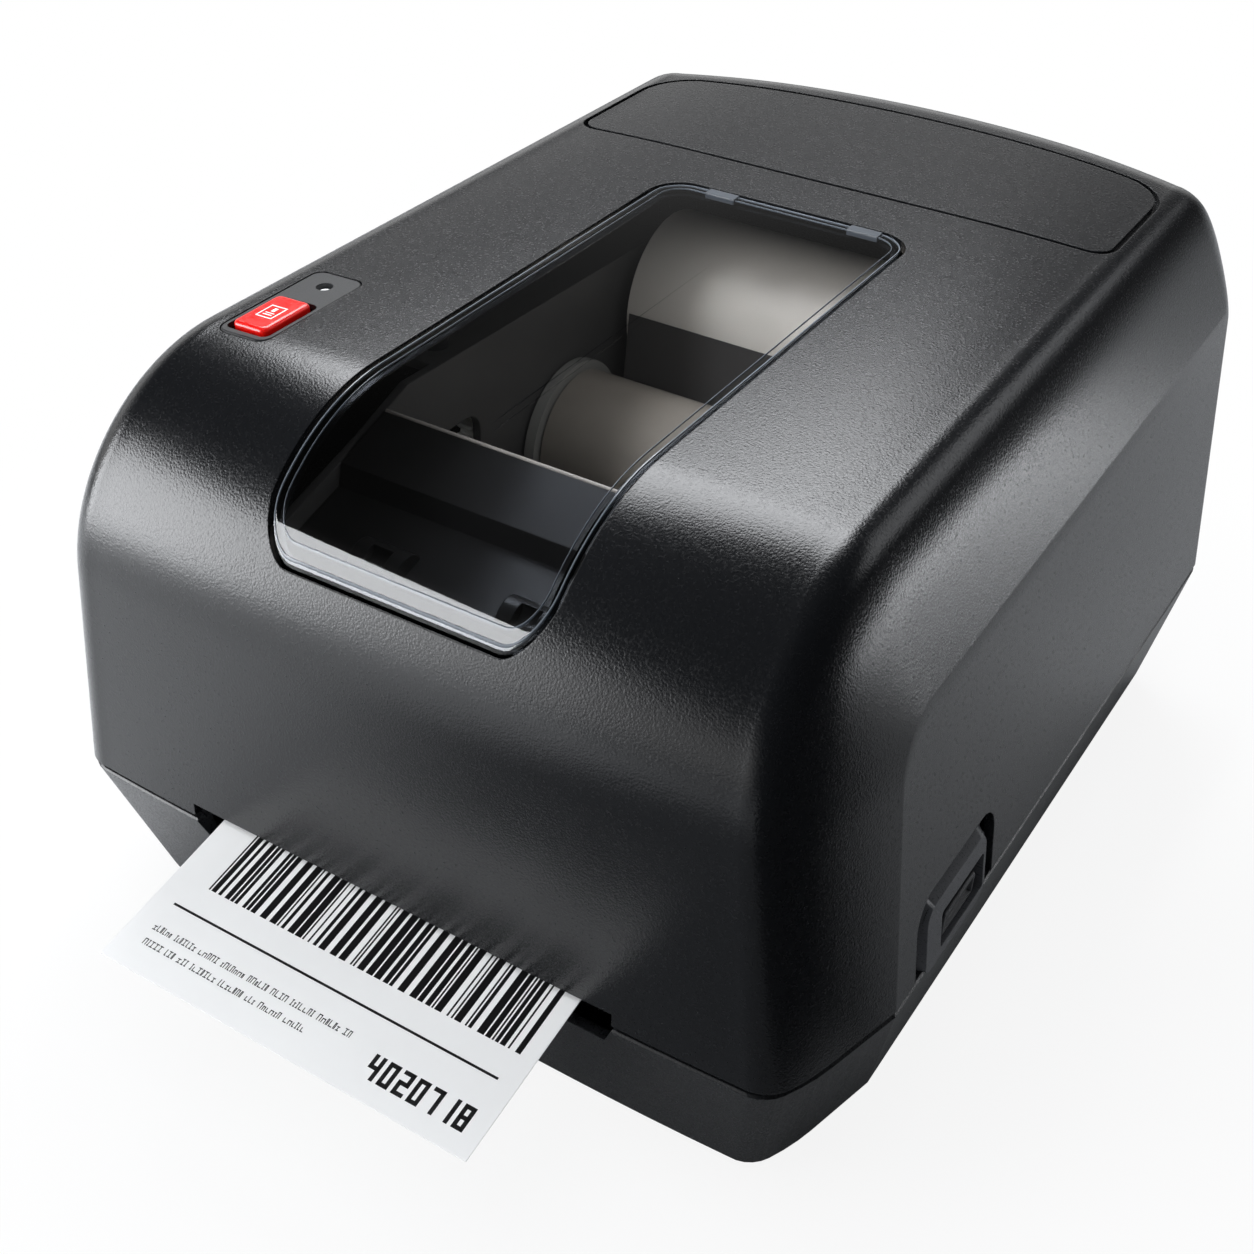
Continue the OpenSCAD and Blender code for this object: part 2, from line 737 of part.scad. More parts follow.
module platen_upright(x) {
    difference() {
        across(x, x + upright_t)
            polygon([[17.5, floor_z], [38, floor_z], [38, 30], [32, 47], [16, 47], [14, 40], [14, 16]]);
        rod(x - cut, x + upright_t + cut, bush_r + 0.02, platen_y, platen_z);
    }
}

module platen_frame() {
    color("#2a2d30") from_front() {
        platen_upright(upright_x);
        platen_upright(-upright_x - upright_t);
        // Deck that the web slides over, and its legs
        strip([[deck_front_y, deck_front_z], [deck_rear_y, deck_low_z]], deck_t,
              -upright_x - upright_t, upright_x + upright_t);
        for (s = [-1, 1]) {
            span([s * 62 - 1.5, deck_front_y - 1, floor_z], [s * 62 + 1.5, deck_front_y + 3, web_top_z - 5]);
            span([s * 62 - 1.5, deck_rear_y - 5, floor_z], [s * 62 + 1.5, deck_rear_y - 1, web_rear_z - 2]);
        }
        span([-upright_x, 18, floor_z], [upright_x, 24, floor_z + 3]);
        // Plate that carries the motor and the idler's pin
        difference() {
            span([motor_plate_x - 2, 30, floor_z], [motor_plate_x, pinion_y + motor_w / 2, idler_z + motor_w / 2]);
            rod(motor_plate_x - 3, motor_plate_x + 1, 4.2, pinion_y, idler_z);
            rod(motor_plate_x - 3, motor_plate_x + 1, 2.03, idler_y, idler_z);
        }
        span([motor_plate_x - 2, 30, floor_z], [-upright_x, 36, floor_z + 2]);
        rod(motor_plate_x - 2, gear_x + gear_t + 1.2, 2, idler_y, idler_z);
    }
}

module bush(x) {
    color("#d8d6cf") from_front()
        difference() {
            union() {
                rod(x, x + upright_t, bush_r, platen_y, platen_z);
                rod(x - 1.2, x - 0.05, bush_r + 1.4, platen_y, platen_z);
            }
            rod(x - 2, x + upright_t + cut, journal_r + running_gap, platen_y, platen_z);
        }
}

module platen_bush_right() {
    bush(upright_x);
}

module platen_bush_left() {
    mirror([1, 0, 0]) bush(upright_x);
}

module platen_roller() {
    color("#3a3c3e") from_front()
        difference() {
            rod(-platen_half_w, platen_half_w, platen_r, platen_y, platen_z);
            rod(-platen_half_w - cut, platen_half_w + cut, shaft_r, platen_y, platen_z);
        }
}

module platen_shaft() {
    color("#aeb2b5") from_front() {
        rod(-platen_half_w - 3, platen_half_w + 3, shaft_r, platen_y, platen_z);
        rod(gear_x - 1, upright_x + upright_t + 1.5, journal_r, platen_y, platen_z);
    }
}

module platen_gear() {
    color("#e9e6dc") from_front()
        gear(platen_teeth, gear_x, platen_y, platen_z, platen_turn, journal_r + 0.02);
}

module idler_gear() {
    color("#e9e6dc") from_front()
        gear(idler_teeth, gear_x, idler_y, idler_z, idler_turn, 2 + running_gap);
}

module motor_pinion() {
    color("#b98c3d") from_front() {
        gear(pinion_teeth, gear_x, pinion_y, idler_z, pinion_turn, 1.52);
        rod(motor_plate_x - 3.9, gear_x + gear_t, 1.5, pinion_y, idler_z);
    }
}

module feed_motor() {
    color("#77797c") from_front()
        difference() {
            union() {
                across(motor_plate_x - 2 - motor_l, motor_plate_x - 2)
                    difference() {
                        translate([pinion_y - motor_w / 2, idler_z - motor_w / 2]) square(motor_w);
                        for (a = [0:3])
                            translate([pinion_y, idler_z]) rotate(45 + 90 * a) translate([motor_w * 0.66, -5]) square(10);
                    }
                rod(motor_plate_x - 2, motor_plate_x, 4, pinion_y, idler_z);
            }
            rod(motor_plate_x - 5, motor_plate_x + 1, 1.5 + running_gap, pinion_y, idler_z);
        }
}

TEAR_TEETH = 44;

module tear_bar() {
    color("#9a9da0") from_front() {
        span([-mouth_half_w + 4, tear_y - 1, web_top_z - 6], [mouth_half_w - 4, tear_y, web_top_z - 1.4]);
        span([-mouth_half_w + 4, tear_y - 1, web_top_z - 6], [mouth_half_w - 4, 14, web_top_z - 5]);
        for (i = [0:TEAR_TEETH - 1])
            let (pitch = (2 * mouth_half_w - 8) / TEAR_TEETH, x = -mouth_half_w + 4 + pitch * i)
            translate([x, tear_y, web_top_z - 1.4]) rotate([90, 0, 0])
                linear_extrude(1) polygon([[0, 0], [pitch, 0], [pitch / 2, 0.9]]);
    }
}

module gap_sensor() {
    color("#151618") from_front()
        span([-8, 56, 34.6], [8, 66, 36.7]);
}

// ---- Label roll, web and holders -------------------------------------------------------

core_bore_r = label_core_r - 1.8;
core_half = label_w / 2 + 0.3;

module label_roll() {
    color("#e9e7e1") from_front()
        difference() {
            rod(-label_w / 2, label_w / 2, label_roll_r, roll_y, roll_z);
            rod(-label_w, label_w, label_core_r, roll_y, roll_z);
        }
}

module label_core() {
    color("#b08d62") from_front()
        difference() {
            rod(-core_half, core_half, label_core_r, roll_y, roll_z);
            rod(-label_w, label_w, core_bore_r, roll_y, roll_z);
        }
}

// Tangent point on a circle, as [y, z], for a line that runs to a point in front of it
function tangent_to(centre, r, point, side) =
    let (d = point - centre, a = atan2(d[1], d[0]) + side * acos(r / norm(d)))
    centre + r * [cos(a), sin(a)];

web_rear = [deck_rear_y, web_rear_z];
web_platen = [platen_y + 2, web_top_z];
web_roll = tangent_to([roll_y, roll_z], label_roll_r + touch + label_t / 2, web_rear, 1);
web_tip = [-label_out, web_top_z - (label_out + tear_y - 2) * tan(label_droop)];
web_run = [web_roll, web_rear, web_platen, [tear_y - 2, web_top_z], web_tip];

module label_strip() {
    color("#f4f4f2") from_front()
        strip(web_run, label_t, -label_w / 2, label_w / 2);
}

holder_x = core_half + touch;
holder_teeth = 12;
holder_pitch_r = gear_m * holder_teeth / 2;

// Rack tooth outline, pointing towards -Y, with its pitch line on the X axis
module rack_tooth() {
    half = PI * gear_m / 4 - 0.12;
    polygon([[-half - 0.44 * gear_m, 1.3 * gear_m], [-half + 0.25 * gear_m, -0.7 * gear_m],
             [half - 0.25 * gear_m, -0.7 * gear_m], [half + 0.44 * gear_m, 1.3 * gear_m]]);
}

module holder() {
    difference() {
        union() {
            across(holder_x, holder_x + 3)
                union() {
                    translate([roll_y, roll_z]) circle(label_core_r + 2);
                    polygon([[roll_y - 20, well_z + touch], [roll_y + 20, well_z + touch],
                             [roll_y + label_core_r, roll_z], [roll_y - label_core_r, roll_z]]);
                }
            rod(holder_x - 9, holder_x + 1, core_bore_r - running_gap, roll_y, roll_z);
        }
        rod(holder_x - 12, holder_x + 8, core_bore_r - 3, roll_y, roll_z);
    }
    // Foot, with the arm that joins it to its rack
    span([holder_x, rack_y - 10, well_z + touch], [holder_x + 9, roll_y + 20, well_z + 2.8]);
}

module holder_rack() {
    z = well_z + touch;
    span([-26, holder_pitch_r + 1.2 * gear_m, z], [holder_x + 1, holder_pitch_r + 4, z + 2.5]);
    for (i = [-8:3])
        translate([PI * gear_m * (i + 0.5), holder_pitch_r, z])
            linear_extrude(2.5) rack_tooth();
}

module roll_holder_right() {
    color("#3f7a4b") from_front() {
        holder();
        translate([0, rack_y, 0]) holder_rack();
    }
}

module roll_holder_left() {
    color("#3f7a4b") from_front() {
        mirror([1, 0, 0]) holder();
        translate([0, rack_y, 0]) mirror([1, 0, 0]) mirror([0, 1, 0]) holder_rack();
    }
}

module holder_pinion() {
    color("#e9e6dc") from_front()
        translate([0, rack_y, well_z + touch])
            linear_extrude(2.5)
                difference() {
                    gear_outline(holder_teeth, 0.2);
                    circle(1.5 + running_gap);
                }
}

// Height of the deck's upper face
deck_front_z = web_top_z - 3.6;
deck_low_z = web_rear_z - deck_t;
deck_slope = atan((deck_front_z - deck_low_z) / (deck_rear_y - deck_front_y));
function deck_top(y) = deck_front_z - (y - deck_front_y) * tan(deck_slope) + deck_t / 2 / cos(deck_slope);

module media_guide(sign) {
    low = [62, deck_top(62) + 0.03];
    high = [76, deck_top(76) + 0.03];
    x = label_w / 2 + touch;
    color("#3f7a4b") from_front()
        mirror([sign < 0 ? 1 : 0, 0, 0]) {
            across(x, x + 1.6)
                polygon([low, high, high + [0, 5], high + [-2, 7], low + [2, 7], low + [0, 5]]);
            across(x + 1.5, x + 6)
                polygon([low, high, high + [0, 1.6], low + [0, 1.6]]);
        }
}

module media_guide_left() {
    media_guide(-1);
}

module media_guide_right() {
    media_guide(1);
}

// ---- Latches and hinge -----------------------------------------------------------------

latch_x = case_half - 18;

module latch() {
    across(latch_x, case_half - 3.8)
        round_rect([latch_front_y + 16.1, base_top_z + 1.3],
                   [latch_rear_y - 9.3, base_top_z + 8.1], 0.5);
    span([latch_x, latch_front_y + 18, base_top_z + 1.3], [latch_x + 2, latch_rear_y - 11, base_top_z + 19]);
    // Nose that holds the strike in the cover
    across(latch_x + 2, latch_x + 3.2)
        square_at([latch_front_y + 18, base_top_z + 16.4], [latch_rear_y - 11, base_top_z + 18.4]);
}

module square_at(low, high) {
    translate(low) square(high - low);
}

module latch_right() {
    color("#26282a") from_front() latch();
}

module latch_left() {
    color("#26282a") from_front() mirror([1, 0, 0]) latch();
}

module hinge_pins() {
    color("#b9bcbf") from_front()
        both_sides()
            rod(hinge_x - 0.8, hinge_x + 3 * barrel_w + 2 * knuckle_gap + 0.8, hinge_pin_r, hinge_y, hinge_z);
}

// ---- Cover -----------------------------------------------------------------------------

// Area of the side outline, moved in from the front face and the top
module side_area(inset) {
    up = sqrt(1 + top_rise * top_rise);
    r = nose_r - inset;
    centre = [nose_r, top_z + top_rise * nose_r - inset * up - r * up];
    meet = centre + r * [-top_rise, 1] / up;
    far = window_rear_y + 30;
    translate(centre) circle(r, $fn = 120);
    polygon([[inset, seam_z], [inset, centre[1]], centre, [centre[0], seam_z]]);
    polygon([[meet[0], seam_z], meet, [far, top_at(far) - inset * up], [far, seam_z]]);
}

// Upright prism over the window, moved out by the given amount
module window_prism(grow, z0, z1) {
    translate([0, 0, z0])
        linear_extrude(z1 - z0)
            round_rect([-window_w / 2 - grow, window_front_y - grow * 0.7],
                       [window_w / 2 + grow, window_rear_y + grow], window_r + grow);
}

// Plan outline of the name panel, moved out by the given amount
module panel_outline(grow) {
    arc_r = bow_r - (case_l - panel_rear_y) + grow;
    intersection() {
        round_rect([-panel_half_w - grow, panel_front_y - grow],
                   [panel_half_w + grow, case_l + 20], 5 + grow);
        translate([0, panel_rear_y - arc_r + grow]) circle(arc_r, $fn = 240);
        round_rect([-panel_half_w - grow, panel_front_y - grow - 60],
                   [panel_half_w + grow, panel_rear_y + grow], 16 + grow);
    }
}

control_tilt = 2;

// Places children on the top at the control plate, with Z square to the surface
module at_controls() {
    mid_y = (control_front_y + control_rear_y) / 2;
    translate([control_x, mid_y, top_at(mid_y) - crown * 0.75])
        rotate([top_slope, -control_tilt, 0])
            children();
}

module control_area(grow) {
    half_l = (control_rear_y - control_front_y) / 2;
    round_rect([-control_w / 2 - grow, -half_l - grow], [control_w / 2 + grow, half_l + grow], 3 + grow);
}

module top_cover() {
    color("#2c2e31") from_front() {
        difference() {
            skin(0, seam_z);
            skin(wall, seam_z - 4);
            window_prism(window_gap, top_z - 50, top_z + 30);
            // Mouth that the label leaves through
            span([-mouth_half_w, -cut, seam_z - cut], [mouth_half_w, wall + 3, mouth_top_z]);
            both_sides()
                across(case_half - 14, case_half + 2)
                    round_rect([latch_front_y, seam_z - 20], [latch_rear_y, latch_top_z], latch_r);
            // Recess for the name panel
            intersection() {
                translate([0, 0, top_z - 20]) linear_extrude(60) panel_outline(groove_w);
                difference() {
                    span([-case_half, panel_front_y - 10, top_z - 20], [case_half, case_l + 10, top_z + 30]);
                    skin(groove_t, seam_z);
                }
            }
            both_sides() leaf_arm(0.05);
            at_controls() {
                translate([0, 0, -1.3]) linear_extrude(10) control_area(0.25);
                translate([0, button_y - (control_front_y + control_rear_y) / 2, -20])
                    linear_extrude(30) square([button_w + 3, button_l + 3], center = true);
                translate([0, light_y - (control_front_y + control_rear_y) / 2, -20])
                    cylinder(r = light_r + 1.2, h = 30);
            }
        }
        both_sides() {
            // Strike that the latch nose holds
            span([latch_x + 5, latch_front_y + 18, 60], [latch_x + 7, latch_rear_y - 11, 84]);
            span([latch_x + 3.6, latch_front_y + 18, base_top_z + 14], [latch_x + 5, latch_rear_y - 11, base_top_z + 16.2]);
            span([latch_x + 5, latch_front_y + 18, base_top_z + 14], [latch_x + 7, latch_rear_y - 11, 61]);
            span([latch_x + 6, latch_front_y + 22, 76], [latch_x + 12.6, latch_rear_y - 15, 84]);
            // Bosses that carry the ribbon side plates
            for (y = boss_ys)
                translate([boss_x, y, plate_top_z + 0.02])
                    difference() {
                        cylinder(r = 4, h = top_at(y) - wall / 2 - crown - plate_top_z);
                        translate([0, 0, -cut]) cylinder(r = screw_r + 0.02, h = 8 + cut);
                    }
        }
    }
}

boss_x = plate_x + plate_t + 6;
boss_ys = [110, 215];
flange_t = 2.5;
screw_r = 1.5;

leaf_x = hinge_x + barrel_w + knuckle_gap;
leaf_y = case_l - rear_in(leaf_x + barrel_w + 1) - wall - 0.8;

// Arm of a hinge leaf, from its foot inside the cover to its barrel, grown all round by the given amount
module leaf_arm(grow) {
    span([leaf_x - grow, leaf_y - 1, hinge_z + 0.9 - grow],
         [leaf_x + barrel_w + grow, hinge_y, hinge_z + barrel_r + grow]);
}

module hinge_leaves() {
    color("#2c2e31") from_front()
        both_sides()
            difference() {
                union() {
                    rod(leaf_x, leaf_x + barrel_w, barrel_r, hinge_y, hinge_z);
                    leaf_arm(0);
                    span([leaf_x - 1, leaf_y - 2, hinge_z + 0.9], [leaf_x + barrel_w + 1, leaf_y, hinge_z + 16]);
                }
                rod(hinge_x, hinge_x + 3 * barrel_w, hinge_pin_r + running_gap, hinge_y, hinge_z);
            }
}

module window() {
    color([0.1, 0.11, 0.12, 0.45]) from_front()
        difference() {
            union() {
                intersection() {
                    across(-window_w / 2 - 1, window_w / 2 + 1)
                        difference() {
                            side_area(0.15);
                            side_area(wall + 0.3);
                        }
                    window_prism(0, top_z - 60, top_z + 40);
                }
                // Lip that bears on the cover from inside
                intersection() {
                    across(-window_w / 2 - 4, window_w / 2 + 4)
                        difference() {
                            side_area(wall + 0.3);
                            side_area(wall + 1.5);
                        }
                    window_prism(3, top_z - 60, top_z + 40);
                }
            }
            intersection() {
                across(-window_w / 2, window_w / 2) side_area(window_t);
                window_prism(-2.5, top_z - 70, top_z + 40);
            }
        }
}

module name_panel() {
    color("#2c2e31") from_front()
        intersection() {
            translate([0, 0, top_z - 20]) linear_extrude(60) panel_outline(0);
            difference() {
                skin(0, seam_z);
                skin(groove_t - 0.02, seam_z - cut);
            }
        }
}

module control_plate() {
    mid_y = (control_front_y + control_rear_y) / 2;
    color("#34363a") from_front()
        at_controls()
            difference() {
                translate([0, 0, -1.28]) linear_extrude(1.3) control_area(0);
                translate([0, button_y - mid_y, -5])
                    linear_extrude(20) round_rect([-button_w / 2 - 1.2, -button_l / 2 - 1.2],
                                                  [button_w / 2 + 1.2, button_l / 2 + 1.2], 2);
                translate([0, light_y - mid_y, -5]) cylinder(r = light_r + 0.1, h = 20);
            }
}

module feed_button() {
    mid_y = (control_front_y + control_rear_y) / 2;
    color("#e3231b") from_front()
        at_controls()
            translate([0, button_y - mid_y, 0]) {
                translate([0, 0, -3.4])
                    linear_extrude(4.6) round_rect([-button_w / 2, -button_l / 2], [button_w / 2, button_l / 2], 1.4);
                translate([0, 0, stem_low]) cylinder(r = 2, h = -3 - stem_low);
            }
}

module status_light() {
    mid_y = (control_front_y + control_rear_y) / 2;
    color("#f1f4f6") from_front()
        at_controls()
            translate([0, light_y - mid_y, -6.9]) {
                cylinder(r = light_r, h = 6.9);
                cylinder(r = light_r + 0.7, h = 5.2);
            }
}

board_drop = 7;              // Depth of the button board's upper face below the case's top
switch_h = 0.6;
stem_low = switch_h - board_drop + button_travel + 0.05;

module button_board() {
    color("#1f6b45") from_front()
        at_controls() {
            translate([0, 0, -board_drop - board_t]) linear_extrude(board_t)
                square([control_w + 4, control_rear_y - control_front_y - 2], center = true);
            translate([0, button_y - (control_front_y + control_rear_y) / 2, -board_drop])
                linear_extrude(switch_h) square(6, center = true);
            // Posts up to the cover
            for (y = [-14, 14]) translate([control_w / 2 + 0.9, y, -board_drop]) cylinder(r = 1.1, h = board_drop - 2.9);
        }
}

// ---- Ribbon carriage and print head, carried by the cover ------------------------------

module ribbon_plate() {
    difference() {
        union() {
            across(plate_x, plate_x + plate_t)
                polygon([[15, 52], [36, 50.8], [60, 53.5], [190, 53], [196, 66], [236, 82], [240, 96],
                         [234, plate_top_z], [88, plate_top_z], [70, 117], [30, 104], [17, 84]]);
            // Flange under the cover's bosses
            span([plate_x, boss_ys[0] - 10, plate_top_z - flange_t], [boss_x + 4.5, boss_ys[1] + 10, plate_top_z]);
        }
        rod(plate_x - 3, plate_x + plate_t + 3, ribbon_core_r - 4, takeup_y, takeup_z);
        rod(plate_x - 3, plate_x + plate_t + 3, ribbon_core_r - 4, supply_y, supply_z);
        rod(plate_x - 3, plate_x + plate_t + 3, 2.5 + running_gap, guide_y, guide_z);
        rod(plate_x - 3, plate_x + plate_t + 3, 2 + running_gap, pivot_y, pivot_z);
        rod(plate_x - 3, plate_x + plate_t + 3, bar_r + 0.02, front_bar_y, front_bar_z);
        rod(plate_x - 3, plate_x + plate_t + 3, bar_r + 0.02, lower_bar_y, lower_bar_z);
        for (y = boss_ys) translate([boss_x, y, plate_top_z - 4]) cylinder(r = screw_r + 0.2, h = 6);
        // Openings that lighten the plate
        across(plate_x - 3, plate_x + plate_t + 3) {
            round_rect([34, 68], [58, 88], 4);
            round_rect([82, 66], [118, 104], 6);
        }
    }
}

module ribbon_plate_right() {
    color("#3a3c3f") from_front() ribbon_plate();
}

module ribbon_plate_left() {
    color("#3a3c3f") from_front() {
        mirror([1, 0, 0]) ribbon_plate();
        // Pin of the ribbon gear
        rod(-plate_x - plate_t - gear_t - 2.4, -plate_x - plate_t + 0.5, 2, ribbon_gear_y, ribbon_gear_z);
    }
}

module ribbon_shroud() {
    color("#191b1d") from_front() {
        strip([[79, 120], [62, 113.4], [60.8, 107.4], [40.4, 101.2], [35.2, 88.4], [24.4, 82.4], [21, 70]],
              2, -plate_x + 0.02, plate_x - 0.02);
        // Ribs under the plate
        for (x = [-30, 0, 30])
            across(x - 1, x + 1)
                polygon([[26, 82], [36.5, 87.5], [42, 100.5], [61.5, 106.5], [62.8, 111], [62.8, 100], [40, 84]]);
        // Bosses with their dimples, on the front step
        for (x = [-34, 8])
            difference() {
                rod(x - 7, x + 7, 5.5, 45, 102);
                rod(x - 3, x + 3, 3, 42, 107);
            }
    }
}

module ribbon_bars() {
    color("#9a9da0") from_front() {
        rod(-plate_x - plate_t, plate_x + plate_t, bar_r, front_bar_y, front_bar_z);
        rod(-plate_x - plate_t, plate_x + plate_t, bar_r, lower_bar_y, lower_bar_z);
    }
}

module ribbon_guide_roller() {
    color("#6f6860") from_front() {
        rod(-ribbon_half_w, ribbon_half_w, guide_r, guide_y, guide_z);
        rod(-plate_x - plate_t, plate_x + plate_t, 2.5, guide_y, guide_z);
    }
}

module head_bracket() {
    color("#8f9396") from_front() {
        difference() {
            union() {
                span([-56, 19, head_z + 1.5], [56, 56, head_z + 4.5]);
                for (i = [0:5])
                    span([-50, 26 + 5 * i, head_z + 4.4], [50, 27.6 + 5 * i, head_z + 8.4]);
                both_sides()
                    across(56, 58.5)
                        union() {
                            polygon([[22, head_z + 1.5], [56, head_z + 1.5], [66, pivot_z - 3], [66, pivot_z + 1],
                                     [pivot_y, pivot_z + 4.5], [58, pivot_z + 2], [22, head_z + 6]]);
                            translate([pivot_y, pivot_z]) circle(4.5);
                        }
            }
            rod(-70, 70, 2 + running_gap, pivot_y, pivot_z);
        }
    }
}

module pivot_rod() {
    color("#b9bcbf") from_front()
        rod(-plate_x - plate_t - 1, plate_x + plate_t + 1, 2, pivot_y, pivot_z);
}

module thermal_head() {
    color("#d9d3c4") from_front() {
        span([-head_half_w, 19.5, head_z], [head_half_w, 34, head_z + 1.48]);
        span([-40, 34.5, head_z + 0.3], [40, 40, head_z + 1.48]);
    }
}

// Torsion springs on the pivot, with legs on the bracket and the plates
module head_springs() {
    color("#c9ccce") from_front()
        both_sides() {
            for (i = [0:3])
                translate([51.2 + 1.15 * i, pivot_y, pivot_z])
                    rotate([0, 90, 0])
                        rotate_extrude() translate([3.2, 0]) circle(0.5, $fn = 16);
            translate([51.7, pivot_y - 3.2, pivot_z]) rotate([111, 0, 0]) cylinder(r = 0.5, h = 16);
        }
}

module ribbon_roll(y, z, r, core_r) {
    difference() {
        rod(-ribbon_half_w, ribbon_half_w, r, y, z);
        rod(-ribbon_half_w - cut, ribbon_half_w + cut, core_r, y, z);
    }
}

// Core with journals that turn in the side plates
module ribbon_core(y, z, collar_r) {
    rod(-plate_x + 0.4, plate_x - 0.4, ribbon_core_r, y, z);
    rod(-plate_x - plate_t - 1.6, plate_x + plate_t + 1.6, ribbon_core_r - 4 - running_gap, y, z);
    for (s = [-1, 1])
        rod(s * (ribbon_half_w + 2.4) - 1.6, s * (ribbon_half_w + 2.4) + 1.6, collar_r, y, z);
}

module ribbon_supply_roll() {
    color("#8c8a86") from_front() ribbon_roll(supply_y, supply_z, supply_r, ribbon_core_r);
}

module ribbon_supply_core() {
    color("#57524c") from_front() ribbon_core(supply_y, supply_z, ribbon_core_r + 1.5);
}

module ribbon_takeup_roll() {
    color("#77706a") from_front() ribbon_roll(takeup_y, takeup_z, takeup_r, ribbon_core_r);
}

module ribbon_takeup_core() {
    color("#57524c") from_front() ribbon_core(takeup_y, takeup_z, flange_r);
}

// Felt brake that steadies the supply core, outside the right plate
module supply_brake() {
    color("#5d6063") from_front()
        difference() {
            rod(plate_x + plate_t + 0.02, plate_x + plate_t + 3, ribbon_core_r - 1, supply_y, supply_z);
            rod(plate_x, plate_x + plate_t + 5, ribbon_core_r - 4 + 0.02, supply_y, supply_z);
        }
}

takeup_teeth = 36;
ribbon_teeth = 24;
ribbon_gear_x = -(plate_x + plate_t + gear_t + 1.4);
ribbon_drop = 160;
ribbon_span = gear_m * (takeup_teeth + ribbon_teeth) / 2;
ribbon_gear_y = takeup_y + ribbon_span * cos(ribbon_drop);
ribbon_gear_z = takeup_z + ribbon_span * sin(ribbon_drop);

module takeup_gear() {
    color("#e9e6dc") from_front()
        gear(takeup_teeth, ribbon_gear_x, takeup_y, takeup_z, ribbon_drop, ribbon_core_r - 4);
}

module ribbon_gear() {
    color("#e9e6dc") from_front()
        gear(ribbon_teeth, ribbon_gear_x, ribbon_gear_y, ribbon_gear_z,
             ribbon_drop + 180 + 180 / ribbon_teeth, 2 + running_gap);
}

film_gap = touch + film_t / 2;
film_guide = [guide_y - guide_r - film_gap, guide_z];
film_over = [front_bar_y, front_bar_z + bar_r + film_gap];
film_run = [
    tangent_to([supply_y, supply_z], supply_r + film_gap, film_guide, -1),
    film_guide,
    [lower_bar_y + bar_r + film_gap, lower_bar_z],
    [lower_bar_y + bar_r + film_gap - 1, lower_bar_z - bar_r],
    [lower_bar_y, lower_bar_z - bar_r - film_gap],
    [36, film_z],
    [16.8, film_z],
    [front_bar_y - bar_r - film_gap, front_bar_z],
    [front_bar_y - bar_r, front_bar_z + bar_r - film_gap],
    film_over,
    tangent_to([takeup_y, takeup_z], takeup_r + film_gap, film_over, 1)
];

module ribbon_film() {
    color("#0c0c0d") from_front()
        strip(film_run, film_t, -ribbon_half_w + 1, ribbon_half_w - 1);
}

module cover_screws() {
    color("#8d9094") from_front()
        both_sides()
            for (y = boss_ys)
                translate([boss_x, y, plate_top_z - flange_t]) {
                    translate([0, 0, -2]) cylinder(r = 3, h = 2);
                    translate([0, 0, -cut]) cylinder(r = screw_r, h = flange_t + 6 + cut);
                }
}

base_tray();
foot_pads();
base_screws();
media_well();
rear_panel();
main_board();
dc_jack();
usb_port();
serial_port();
switch_frame();
power_rocker();
platen_frame();
platen_bush_left();
platen_bush_right();
platen_roller();
platen_shaft();
platen_gear();
idler_gear();
motor_pinion();
feed_motor();
tear_bar();
gap_sensor();
label_roll();
label_core();
label_strip();
roll_holder_left();
roll_holder_right();
holder_pinion();
media_guide_left();
media_guide_right();
latch_left();
latch_right();
hinge_pins();
hinge_leaves();
top_cover();
window();
name_panel();
control_plate();
feed_button();
status_light();
button_board();
ribbon_plate_left();
ribbon_plate_right();
ribbon_shroud();
ribbon_bars();
ribbon_guide_roller();
head_bracket();
pivot_rod();
thermal_head();
head_springs();
ribbon_supply_roll();
ribbon_supply_core();
supply_brake();
ribbon_takeup_roll();
ribbon_takeup_core();
takeup_gear();
ribbon_gear();
ribbon_film();
cover_screws();
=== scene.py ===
"""Desktop thermal-transfer label printer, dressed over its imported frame.

All sizes are in millimetres from the flat front face of the case, as its maker would give them:
X across the machine, Y from the front face to the rear, Z up from the desk. to_frame turns them
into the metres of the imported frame.
"""

from __future__ import annotations

import logging
import math
from dataclasses import dataclass
from enum import Enum

import bmesh
import bpy
import numpy as np
from mathutils import Matrix, Vector


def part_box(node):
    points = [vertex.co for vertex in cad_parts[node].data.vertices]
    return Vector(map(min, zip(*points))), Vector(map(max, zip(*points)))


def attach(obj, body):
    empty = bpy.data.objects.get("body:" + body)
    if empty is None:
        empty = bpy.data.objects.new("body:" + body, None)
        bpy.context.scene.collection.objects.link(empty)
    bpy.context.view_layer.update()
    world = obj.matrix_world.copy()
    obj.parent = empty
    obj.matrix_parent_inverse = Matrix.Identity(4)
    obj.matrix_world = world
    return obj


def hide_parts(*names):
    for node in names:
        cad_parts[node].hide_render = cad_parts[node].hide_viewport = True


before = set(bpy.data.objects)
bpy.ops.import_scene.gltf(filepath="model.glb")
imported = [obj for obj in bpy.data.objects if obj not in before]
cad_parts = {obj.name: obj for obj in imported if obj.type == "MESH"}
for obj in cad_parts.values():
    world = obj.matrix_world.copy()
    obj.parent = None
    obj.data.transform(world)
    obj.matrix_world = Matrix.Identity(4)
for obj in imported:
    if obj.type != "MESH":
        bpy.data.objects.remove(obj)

LOG = logging.getLogger("label_printer")
MM = 0.001
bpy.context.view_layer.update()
FRONT_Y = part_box("top_cover")[0].y / MM


# ---- Shared tools ----------------------------------------------------------------------


def to_frame(points: np.ndarray) -> np.ndarray:
    """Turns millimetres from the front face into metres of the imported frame.

    Args:
        points: Array whose last axis is x, y, z in millimetres.

    Returns:
        The same points in metres, moved back by the front face's place.
    """
    return (np.asarray(points, float) + [0.0, FRONT_Y, 0.0]) * MM


